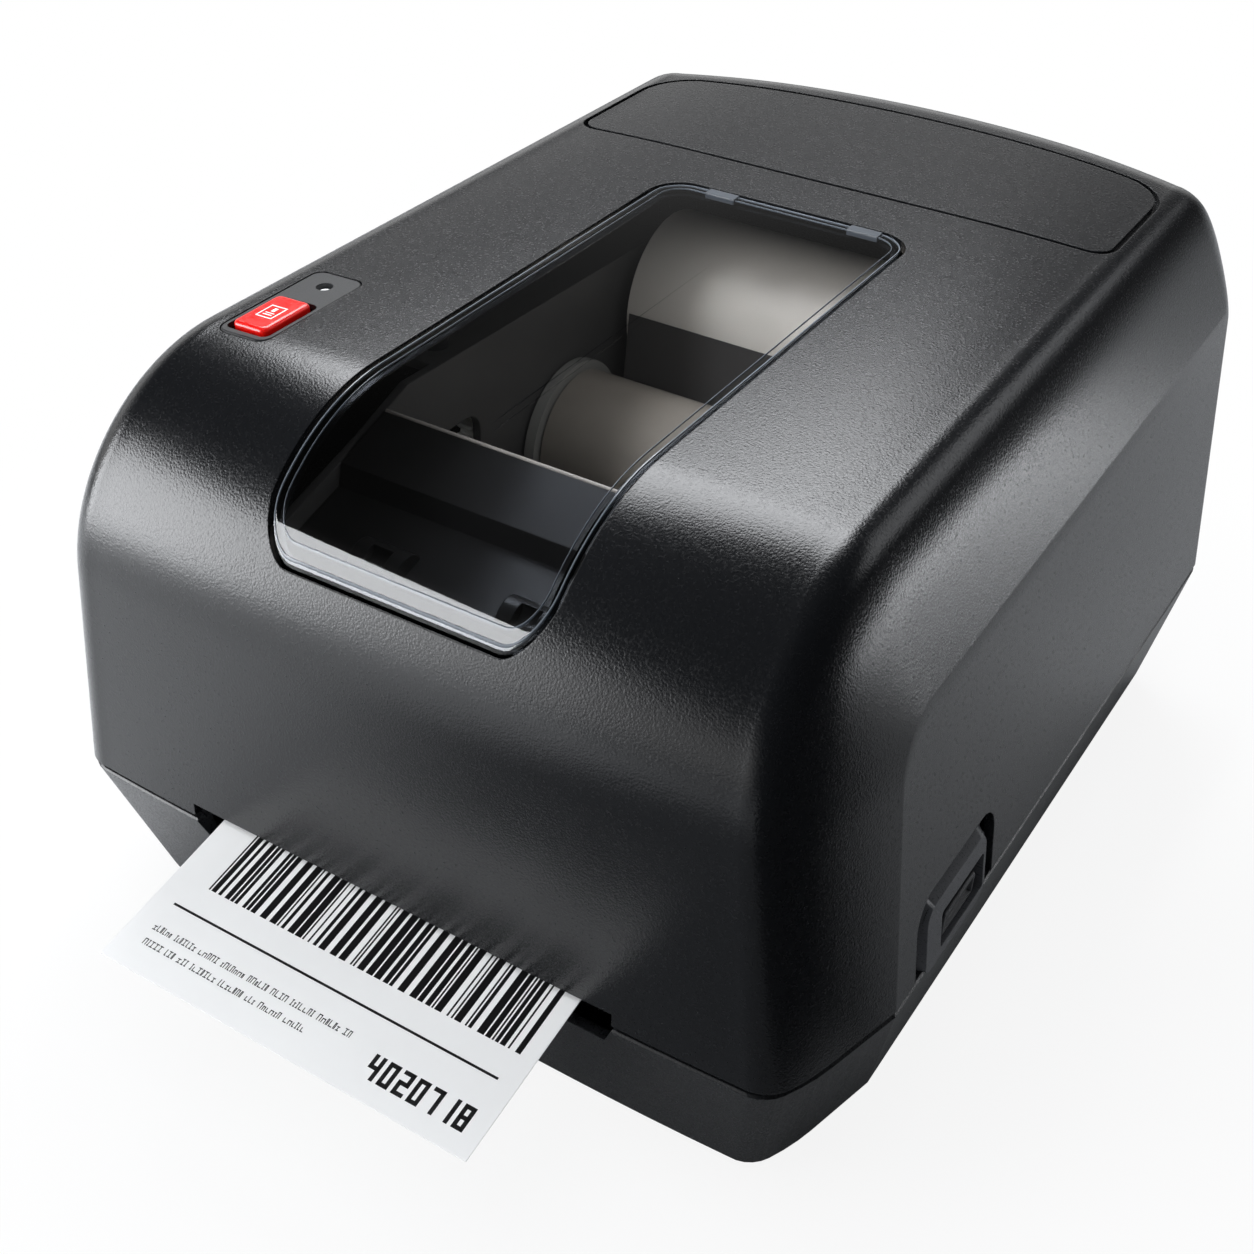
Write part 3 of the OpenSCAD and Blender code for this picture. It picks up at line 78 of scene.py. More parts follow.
def mesh_object(name: str, points: np.ndarray, faces: list,
                smooth: float = 30.0) -> bpy.types.Object:
    """Makes an object of a closed mesh, merges its doubles and turns its faces outwards.

    Args:
        name: Name of the piece.
        points: Vertices in millimetres from the front face, one row each.
        faces: Vertex numbers of each face.
        smooth: Edges that turn more than this many degrees stay sharp.

    Returns:
        The new object, at the origin.
    """
    mesh = bpy.data.meshes.new(name)
    mesh.from_pydata(to_frame(points.reshape(-1, 3)), [], faces)
    shape = bmesh.new()
    shape.from_mesh(mesh)
    bmesh.ops.remove_doubles(shape, verts=shape.verts, dist=2e-6)
    bmesh.ops.recalc_face_normals(shape, faces=shape.faces)
    shape.to_mesh(mesh)
    shape.free()
    piece = bpy.data.objects.new(name, mesh)
    bpy.context.scene.collection.objects.link(piece)
    soften(piece, smooth)
    return piece


def soften(piece: bpy.types.Object, angle: float) -> None:
    """Shades a piece smooth, with edges sharp where they turn more than the angle in degrees."""
    piece.data.polygons.foreach_set("use_smooth", np.ones(len(piece.data.polygons), bool))
    piece.data.set_sharp_from_angle(angle=math.radians(angle))


def grid_faces(rows: int, columns: int, start: int = 0, closed: bool = False,
               ring: bool = False) -> list:
    """Quads of a grid of vertices numbered row by row.

    Args:
        rows: Number of rows.
        columns: Number of columns.
        start: Number of the grid's first vertex.
        closed: True joins the last column to the first.
        ring: True joins the last row to the first.

    Returns:
        One list of four vertex numbers for each quad.
    """
    numbers = start + np.arange(rows * columns).reshape(rows, columns)
    if closed:
        numbers = np.concatenate([numbers, numbers[:, :1]], axis=1)
    if ring:
        numbers = np.concatenate([numbers, numbers[:1]], axis=0)
    here, after = numbers[:-1], numbers[1:]
    quads = np.stack([here[:, :-1], here[:, 1:], after[:, 1:], after[:, :-1]], axis=-1)
    return quads.reshape(-1, 4).tolist()


def loft(name: str, loops: np.ndarray, smooth: float = 30.0) -> bpy.types.Object:
    """A closed solid through a stack of loops, with a flat face on its first and last loop.

    Args:
        name: Name of the piece.
        loops: Array of loops, each with the same number of points, in millimetres.
        smooth: Edges that turn more than this many degrees stay sharp.

    Returns:
        The new object.
    """
    count, size = loops.shape[:2]
    faces = grid_faces(count, size, closed=True)
    faces.append(list(range(size)))
    faces.append(list(range((count - 1) * size, count * size)))
    return mesh_object(name, loops.reshape(-1, 3), faces, smooth)


def ring_piece(name: str, loops: np.ndarray, smooth: float = 30.0) -> bpy.types.Object:
    """A closed ring whose section runs through a stack of loops and back to the first.

    Args:
        name: Name of the piece.
        loops: Array of loops, each with the same number of points, in millimetres.
        smooth: Edges that turn more than this many degrees stay sharp.

    Returns:
        The new object.
    """
    faces = grid_faces(*loops.shape[:2], closed=True, ring=True)
    return mesh_object(name, loops, faces, smooth)


def slabs(name: str, top: np.ndarray, low: np.ndarray) -> bpy.types.Object:
    """One piece of many thin four-cornered slabs, such as strokes of print.

    Args:
        name: Name of the piece.
        top: Array of slabs by four upper corners by x, y, z, in millimetres.
        low: The lower corners in the same order.

    Returns:
        The new object.
    """
    sides = [[i, 4 + i, 4 + (i + 1) % 4, (i + 1) % 4] for i in range(4)]
    one = np.array([[0, 1, 2, 3], [7, 6, 5, 4]] + sides)
    faces = (one + 8 * np.arange(len(top))[:, None, None]).reshape(-1, 4)
    return mesh_object(name, np.stack([top, low], axis=1), faces.tolist())


def corners_of(boxes: list) -> np.ndarray:
    """Corners of flat boxes given as x0, y0, x1, y1: an array of boxes by four corners by x, y."""
    return np.array(boxes, float)[:, [[0, 1], [2, 1], [2, 3], [0, 3]]]


def circle(centre: tuple, radius: float, steps: int) -> np.ndarray:
    """Outline of a circle: its centre plus the radius times the cosine and sine of the turn."""
    turn = np.linspace(0, 2 * math.pi, steps + 1)[:-1]
    return np.asarray(centre, float) + radius * np.stack([np.cos(turn), np.sin(turn)], axis=1)


def rounded(low: tuple, high: tuple, radius: float, steps: int = 10) -> np.ndarray:
    """Outline of a rectangle with round corners, anticlockwise.

    Each corner is a quarter circle about a centre that lies the radius in from both sides.

    Args:
        low: Lowest corner.
        high: Highest corner.
        radius: Corner radius.
        steps: Chords in each corner.

    Returns:
        Points of the outline, one row of two numbers each.
    """
    radius = max(radius, 0.01)
    turn = np.linspace(0.0, math.pi / 2, steps + 1)
    corners = [(high[0], high[1]), (low[0], high[1]), (low[0], low[1]), (high[0], low[1])]
    parts = []
    for quarter, (x, y) in enumerate(corners):
        centre = np.array([x - radius * (1 if quarter in (0, 3) else -1),
                           y - radius * (1 if quarter in (0, 1) else -1)])
        angle = turn + quarter * math.pi / 2
        parts.append(centre + radius * np.stack([np.cos(angle), np.sin(angle)], axis=-1))
    return np.concatenate(parts)


def lift(outline: np.ndarray, height: float) -> np.ndarray:
    """Gives a flat outline a height as its third number."""
    return np.concatenate([outline, np.full(outline.shape[:-1] + (1,), height)], axis=-1)


def prism(name: str, outline: np.ndarray, low: float, high: float,
          axis: str = "z") -> bpy.types.Object:
    """A closed prism over a flat outline.

    Args:
        name: Name of the piece.
        outline: Outline as rows of (x, y) along Z, or of (y, z) along X.
        low: Where the prism starts along its axis.
        high: Where it ends.
        axis: "z" or "x".

    Returns:
        The new object.
    """
    loops = np.stack([lift(outline, low), lift(outline, high)])
    if axis == "x":
        loops = loops[..., [2, 0, 1]]
    return loft(name, loops)


def block(name: str, low: tuple, high: tuple, side: int = 1) -> bpy.types.Object:
    """A square block between two corners; a side of -1 makes it on the machine's left.

    Args:
        name: Name of the piece.
        low: Its lowest corner on the right side.
        high: Its highest corner on the right side.
        side: 1 for the right side, -1 for the left.

    Returns:
        The new object.
    """
    section = corners_of([(low[1], low[2], high[1], high[2])])[0]
    start, end = sorted((side * low[0], side * high[0]))
    return prism(name, section, start, end, "x")


def carve(piece: bpy.types.Object, cutters: list, operation: str = "DIFFERENCE",
          smooth: float = 30.0) -> None:
    """Cuts a piece with closed solids, applies the cuts and removes the cutters.

    Args:
        piece: The piece that changes.
        cutters: Closed objects.
        operation: DIFFERENCE, UNION or INTERSECT.
        smooth: Edges that turn more than this many degrees stay sharp.
    """
    for cutter in cutters:
        change = piece.modifiers.new("cut", "BOOLEAN")
        change.operation = operation
        change.solver = "MANIFOLD"
        change.object = cutter
    depsgraph = bpy.context.evaluated_depsgraph_get()
    shape = bpy.data.meshes.new_from_object(piece.evaluated_get(depsgraph))
    piece.modifiers.clear()
    old = piece.data
    piece.data = shape
    shape.name = piece.name
    bpy.data.meshes.remove(old)
    for cutter in cutters:
        bpy.data.objects.remove(cutter)
    soften(piece, smooth)


def fasten(piece: bpy.types.Object, body: str, slot: str, finish: Finish, *nodes: str) -> None:
    """Dresses a piece, makes it ride on a body and hides the CAD nodes that it stands for.

    Args:
        piece: The piece.
        body: The body that it moves with.
        slot: Name of the record's material slot that its finish belongs to; not used.
        finish: What it is made of.
        nodes: CAD nodes that it replaces.
    """
    piece.data.materials.clear()
    piece.data.materials.append(finish.material())
    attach(piece, body)
    if nodes:
        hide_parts(*nodes)
    LOG.info("%s: %d faces on %s", piece.name, len(piece.data.polygons), body)


# ---- Finishes --------------------------------------------------------------------------


def linear(code: str) -> tuple[float, float, float, float]:
    """Turns an sRGB hex colour into a linear one, by the sRGB curve.

    Args:
        code: Six hex digits such as "2b2d30".

    Returns:
        Linear red, green, blue and 1.
    """
    values = [int(code[i : i + 2], 16) / 255 for i in (0, 2, 4)]
    levels = (v / 12.92 if v <= 0.04045 else ((v + 0.055) / 1.055) ** 2.4 for v in values)
    return *levels, 1.0


def add_node(tree: bpy.types.NodeTree, kind: str, inputs: dict | None = None,
             **settings: object) -> bpy.types.Node:
    """Adds one node to a tree.

    Args:
        tree: The tree that gets the node.
        kind: Blender's name of the node's type.
        inputs: Socket names or numbers, each with a value or with the output socket that feeds it.
        settings: Attributes of the node itself.

    Returns:
        The new node.
    """
    node = tree.nodes.new(kind)
    for key, value in settings.items():
        setattr(node, key, value)
    for key, value in (inputs or {}).items():
        if isinstance(value, bpy.types.NodeSocket):
            tree.links.new(value, node.inputs[key])
        else:
            node.inputs[key].default_value = value
    return node


def smooth_step(tree: bpy.types.NodeTree, value: object, start_end: tuple,
                low_high: tuple) -> bpy.types.NodeSocket:
    """A value eased from one level to another by the cubic 3 t^2 - 2 t^3.

    Args:
        tree: Node tree that gets the node.
        value: Socket with the value.
        start_end: Where the value starts and ends its way.
        low_high: What comes out at the start and at the end.

    Returns:
        The socket with the eased level.
    """
    node = add_node(tree, "ShaderNodeMapRange",
                    {"Value": value, "From Min": start_end[0], "From Max": start_end[1],
                     "To Min": low_high[0], "To Max": low_high[1]}, interpolation_type="SMOOTHSTEP")
    return node.outputs[0]


# How far a finer noise bends the cells of the spark grain, as a share of its colour in metres
SPARK_BEND = 0.0006
# Clouds of tone about 25 mm wide, one over metres
CLOUD_SCALE = 40.0
# How far the roughness goes up and down with the relief
ROUGH_SPREAD = 0.06


class Texture(Enum):
    """How a surface was made, which decides its fine relief."""

    SMOOTH = "polished mould or bright finish"
    SPARK = "spark-eroded mould grain, like fine leather"
    FINE = "fine matt mould texture"
    BRUSHED = "brushed along X"
    TURNED = "turned on a lathe about an axis along X"
    FIBRE = "paper or board fibre"
    WOUND = "edges of the turns of a wound roll"


@dataclass(frozen=True)
class Finish:
    """A finish made of one Principled shader with procedural colour, roughness and relief.

    Attributes:
        name: What the real material is and how it was made.
        colour: sRGB hex colour.
        roughness: Roughness of the surface at its mean.
        texture: How the surface was made.
        grain: Real size of the texture's cells or lines in millimetres.
        relief: Depth of the texture in millimetres.
        metallic: 1 for bare metal.
        specular: Specular level; 0.5 is that of plain plastic.
        variation: Share by which the colour goes lighter and darker.
        edge: Radius in millimetres that corners catch the light with.
        coat: Share of clear gloss over the colour.
    """

    name: str
    colour: str
    roughness: float = 0.5
    texture: Texture = Texture.FINE
    grain: float = 0.6
    relief: float = 0.02
    metallic: float = 0.0
    specular: float = 0.5
    variation: float = 0.08
    edge: float = 0.25
    coat: float = 0.0

    def material(self) -> bpy.types.Material:
        """The finish's material, made once and then shared.

        Returns:
            The material.
        """
        found = bpy.data.materials.get(self.name)
        if found is not None:
            return found
        material = bpy.data.materials.new(self.name)
        material.use_nodes = True
        tree = material.node_tree
        tree.nodes.clear()
        height, tint = self.pattern(tree)
        shader = self.shader(tree, height, tint)
        add_node(tree, "ShaderNodeOutputMaterial", {"Surface": shader.outputs[0]})
        return material

    def place(self, tree: bpy.types.NodeTree,
              scale: tuple = (1.0, 1.0, 1.0)) -> bpy.types.NodeSocket:
        """Object coordinates in metres, stretched by the scale along each axis.

        Args:
            tree: The material's node tree.
            scale: Stretch along X, Y and Z.

        Returns:
            The coordinates' socket.
        """
        where = add_node(tree, "ShaderNodeTexCoord").outputs["Object"]
        mapping = add_node(tree, "ShaderNodeMapping", {"Vector": where, "Scale": scale})
        return mapping.outputs["Vector"]

    def pattern(self, tree: bpy.types.NodeTree) -> tuple:
        """Relief and colour pattern of the surface, each from 0 to 1.

        A cell of a noise is as wide as one over its scale, so a grain of g millimetres has the
        scale 1000 / g in the frame's metres.

        Args:
            tree: The material's node tree.

        Returns:
            The relief's socket and the colour pattern's socket.
        """
        per_metre = 1000.0 / self.grain
        stretch = {
            Texture.BRUSHED: (0.03, 1.0, 1.0),
            Texture.TURNED: (1.0, 0.04, 0.04),
            Texture.WOUND: (0.02, 1.0, 1.0),
            Texture.FIBRE: (1.0, 0.45, 1.0),
        }.get(self.texture, (1.0, 1.0, 1.0))
        where = self.place(tree, stretch)
        fine = add_node(tree, "ShaderNodeTexNoise",
                        {"Vector": where, "Scale": per_metre, "Detail": 2.5, "Roughness": 0.55})
        if self.texture is Texture.SPARK:
            bent = add_node(tree, "ShaderNodeMix",
                            {0: SPARK_BEND, 4: where, 5: fine.outputs["Color"]}, data_type="VECTOR")
            cells = add_node(tree, "ShaderNodeTexVoronoi",
                             {"Vector": bent.outputs[1], "Scale": per_metre, "Smoothness": 0.6},
                             feature="SMOOTH_F1")
            return cells.outputs["Distance"], fine.outputs[0]
        wide = add_node(tree, "ShaderNodeTexNoise",
                        {"Vector": self.place(tree), "Scale": CLOUD_SCALE, "Detail": 3.0,
                         "Roughness": 0.6})
        return fine.outputs[0], wide.outputs[0]

    def shader(self, tree: bpy.types.NodeTree, height: bpy.types.NodeSocket,
               tint: bpy.types.NodeSocket) -> bpy.types.Node:
        """The Principled shader over the given relief and colour patterns.

        Args:
            tree: The material's node tree.
            height: Relief from 0 to 1.
            tint: Colour pattern from 0 to 1.

        Returns:
            The shader node.
        """
        base = np.array(linear(self.colour)[:3])
        dark = tuple(base * (1 - self.variation)) + (1.0,)
        light = tuple(np.minimum(base * (1 + self.variation), 1.0)) + (1.0,)
        ramp = add_node(tree, "ShaderNodeValToRGB", {"Fac": tint})
        ramp.color_ramp.elements[0].position = 0.3
        ramp.color_ramp.elements[1].position = 0.7
        ramp.color_ramp.elements[0].color = dark
        ramp.color_ramp.elements[1].color = light
        smoothest = max(self.roughness - ROUGH_SPREAD, 0.02)
        roughest = min(self.roughness + ROUGH_SPREAD, 1.0)
        rough = add_node(tree, "ShaderNodeMapRange",
                         {"Value": height, "From Min": 0.25, "From Max": 0.75,
                          "To Min": smoothest, "To Max": roughest})
        inputs = {
            "Base Color": ramp.outputs["Color"],
            "Roughness": rough.outputs["Result"],
            "Metallic": self.metallic,
            "Coat Weight": self.coat,
            "Coat Roughness": 0.05,
        }
        if not self.metallic:
            inputs["Specular IOR Level"] = self.specular
        corner = add_node(tree, "ShaderNodeBevel", {"Radius": max(self.edge, 0.01) * MM}, samples=4)
        relief = add_node(tree, "ShaderNodeBump",
                          {"Height": height, "Distance": self.relief * MM, "Strength": 1.0,
                           "Normal": corner.outputs["Normal"]})
        inputs["Normal"] = relief.outputs["Normal"]
        return add_node(tree, "ShaderNodeBsdfPrincipled", inputs)


@dataclass(frozen=True)
class ClearFinish(Finish):
    """Clear or smoked plastic: it reflects as polished plastic and lets a share of light through.

    Attributes:
        passes: sRGB hex colour that white has behind one wall of it.
    """

    passes: str = "b8bcc0"

    def shader(self, tree: bpy.types.NodeTree, height: bpy.types.NodeSocket,
               tint: bpy.types.NodeSocket) -> bpy.types.Node:
        """Mixes light that goes straight through with a mirror gloss, by the angle of sight.

        The inner faces of a wall only let light through, so that a wall counts once.

        Args:
            tree: The material's node tree.
            height: Not used, because the plastic is polished.
            tint: Not used, because the plastic is clear.

        Returns:
            The shader node.
        """
        through = add_node(tree, "ShaderNodeBsdfTransparent", {"Color": linear(self.passes)})
        gloss = add_node(tree, "ShaderNodeBsdfGlossy",
                         {"Color": linear("ffffff"), "Roughness": self.roughness})
        angle = add_node(tree, "ShaderNodeFresnel", {"IOR": 1.5})
        side = add_node(tree, "ShaderNodeNewGeometry")
        share = add_node(tree, "ShaderNodeMix",
                         {0: side.outputs["Backfacing"], 2: angle.outputs[0], 3: 0.0},
                         data_type="FLOAT")
        return add_node(tree, "ShaderNodeMixShader",
                        {0: share.outputs[0], 1: through.outputs[0], 2: gloss.outputs[0]})


# Injection-moulded ABS with a spark-eroded grain: satin charcoal that sparkles in a highlight.
# The grain is drawn a little coarser than the real one so that it shows.
COVER_ABS = Finish("abs_charcoal_spark_grain", "111214", 0.22, Texture.SPARK, 0.50, 0.034,
                   variation=0.10, edge=0.35)
# The same ABS from a finer tool for the base: a little flatter and smoother
BASE_ABS = Finish("abs_charcoal_fine_grain", "161719", 0.32, Texture.SPARK, 0.5, 0.018, edge=0.35)
# Black ABS of the inner frames, dull so that the inside stays dark
INNER_ABS = Finish("abs_black_inner_frames", "17181a", 0.50, grain=0.8, edge=0.3)
# Smooth satin ABS of the latch parts and the power rocker, with soft bright corners
LATCH_ABS = Finish("abs_satin_latch", "222326", 0.36, grain=0.4, relief=0.008, edge=0.45)
# The polished slope round the latch: the same ABS as the latch parts, drawn lighter as painted
# light on the slope, and smooth enough to take a clean highlight
SURROUND_LIGHT_PAINT = Finish("abs_latch_surround_painted_light", "3a3b3e", 0.30, Texture.BRUSHED, 0.3, 0.004,
                   edge=0.4)
# Smooth control plate: flatter than the grained cover round it
TRIM_ABS = Finish("abs_smooth_control_plate", "151618", 0.38, grain=0.35, relief=0.006, edge=0.3)
# Moulded rubber feet: dead matt, with no highlight
RUBBER = Finish("thermoplastic_rubber_feet", "141416", 0.75, grain=0.9, relief=0.03, specular=0.35)
# Ground silicone: fine rings round the roller and a dull grey sheen
PLATEN = Finish("ground_silicone_platen", "2a2b2d", 0.6, Texture.TURNED, 0.4, 0.015, specular=0.4)
# Polished red cap: one saturated colour with a sharp gloss
RED_KEY = Finish("polished_red_key_cap", "e4130c", 0.22, Texture.SMOOTH, 1.4, 0.006, specular=0.55,
                 variation=0.03, edge=0.5, coat=0.3)
# Frosted acrylic light pipe: a small milky dot
LIGHT_PIPE = Finish("frosted_light_pipe", "f2f4f6", 0.3, Texture.SMOOTH, 1.0, 0.004, variation=0.02)
# Glass-fibre board under green solder mask: tracks show as light and dark green
BOARD = Finish("solder_masked_board", "1d5c3c", 0.35, grain=1.5, variation=0.25)
# Glass-filled nylon: an even satin black
CONNECTOR = Finish("nylon_connector_black", "121314", 0.42, grain=0.5, relief=0.01)
# Zinc-plated sheet and rod: bright grey with drawn streaks along X
STEEL = Finish("zinc_plated_steel", "b4b7ba", 0.28, Texture.BRUSHED, 0.35, 0.006, metallic=1.0)
# Moulded acetal: creamy white with a waxy, broad highlight
GEAR = Finish("acetal_gear_white", "e2dfd4", 0.42, grain=0.8, relief=0.01, variation=0.05)
# Turned brass: yellow metal with rings round its axis
BRASS = Finish("turned_brass_pinion", "c39a4a", 0.26, Texture.TURNED, 0.3, 0.006, metallic=1.0)
# Painted motor can: grey with a metallic cast
MOTOR = Finish("painted_motor_can", "6b6e72", 0.4, grain=0.5, relief=0.01, metallic=0.6)
# Anodised aluminium: soft silver streaked by its rolling
HEAD_METAL = Finish("anodised_head_carrier", "8e9296", 0.34, Texture.BRUSHED, 0.3, 0.008,
                    metallic=1.0)
# Glazed alumina of the print head: cream under a wet gloss
HEAD_CERAMIC = Finish("glazed_print_head", "d9d4c6", 0.2, Texture.SMOOTH, 1.5, 0.004,
                      variation=0.05, coat=0.4)
# Coated label stock: clean white, barely fibrous
PAPER = Finish("coated_label_paper", "f3f3f2", 0.55, Texture.FIBRE, 0.35, 0.006, specular=0.3,
               variation=0.012, edge=0.05)
# The wound web seen from its side and face: white with the faint lines of its turns
ROLL_PAPER = Finish("wound_label_roll", "ece9e2", 0.6, Texture.WOUND, 0.6, 0.02, specular=0.3,
                    variation=0.06)
# Grey-brown board of the core: dull and mottled
CARDBOARD = Finish("grey_board_core", "a98f6d", 0.8, Texture.FIBRE, 0.9, 0.03, specular=0.2,
                   variation=0.12)
# Dark grey ABS of the roll holders and guides
HOLDER_ABS = Finish("abs_grey_roll_holder", "3a3c40", 0.45, relief=0.012)
# Wax-backed film: brown black with a greasy gloss
RIBBON_WAX = Finish("wax_ribbon_wound", "4a4744", 0.34, Texture.WOUND, 0.5, 0.006)
# The pale leader wound outside the supply roll: warm white and half matt
LEADER = Finish("ribbon_leader_film", "dcd2c4", 0.42, Texture.WOUND, 0.5, 0.004, variation=0.04)
# Moulded ribbon cores: warm grey plastic
SPOOL = Finish("moulded_ribbon_spool", "8b8880", 0.5, relief=0.01)
# Polished smoked polycarbonate: dark, with mirror-clean reflections
SMOKED = ClearFinish("smoked_polycarbonate_window", "101113", 0.03, passes="dfe1e4")
# Light grey rings set into the clear sheet along its edges: painted highlights that stand for light
# running through the sheet
EDGE_HIGHLIGHT_PAINT = Finish("clear_edge_painted_highlight", "5f656c", 0.10, Texture.SMOOTH, 1.0, 0.002,
                    variation=0.05, edge=0.1)
# The moulded tabs of the same clear sheet, drawn opaque light grey, a little darker than the
# painted edge highlights: painted light that stands for light through the tabs
TAB_CLEAR = Finish("clear_tab_painted_light", "4a4e53", 0.14, Texture.SMOOTH, 1.0, 0.004, variation=0.1,
                   edge=0.2)
# The painted border under the sheet's edge: smoky and half clear
BORDER = ClearFinish("smoked_window_border", "101113", 0.2, passes="5d6167")
# Leader and film wound on the take-up core: warm grey and half matt
TAKEN_UP = Finish("used_ribbon_wound", "8d8478", 0.42, Texture.WOUND, 0.5, 0.008)
# Dark grey ABS of the ribbon frame, light enough to read through the smoked window
FRAME_ABS = Finish("abs_grey_ribbon_frame", "4b4946", 0.42, grain=0.8, edge=0.6)
# The shroud over the print head: near black, with clean bright arrises
SHROUD_ABS = Finish("abs_black_ribbon_shroud", "232221", 0.34, grain=0.8, relief=0.01, edge=0.5)
# The shroud's lip: the same ABS drawn pale warm grey, a painted highlight along the shroud's rear
# edge
LIP_HIGHLIGHT_PAINT = Finish("abs_lip_painted_highlight", "a79f95", 0.25, Texture.BRUSHED, 0.5, 0.004,
                 variation=0.12, edge=0.2)
# Transferred ink: black, a touch glossier than the paper
BLACK_INK = Finish("thermal_transfer_ink", "0c0c0d", 0.42, Texture.FIBRE, 0.35, 0.004,
                   variation=0.05, edge=0.02)
# Pad-printed sign on the red cap: flat white
WHITE_PRINT = Finish("pad_printed_white", "f4f2f0", 0.4, Texture.SMOOTH, 0.8, 0.003, variation=0.02,
                     edge=0.05)


# ---- Case ------------------------------------------------------------------------------


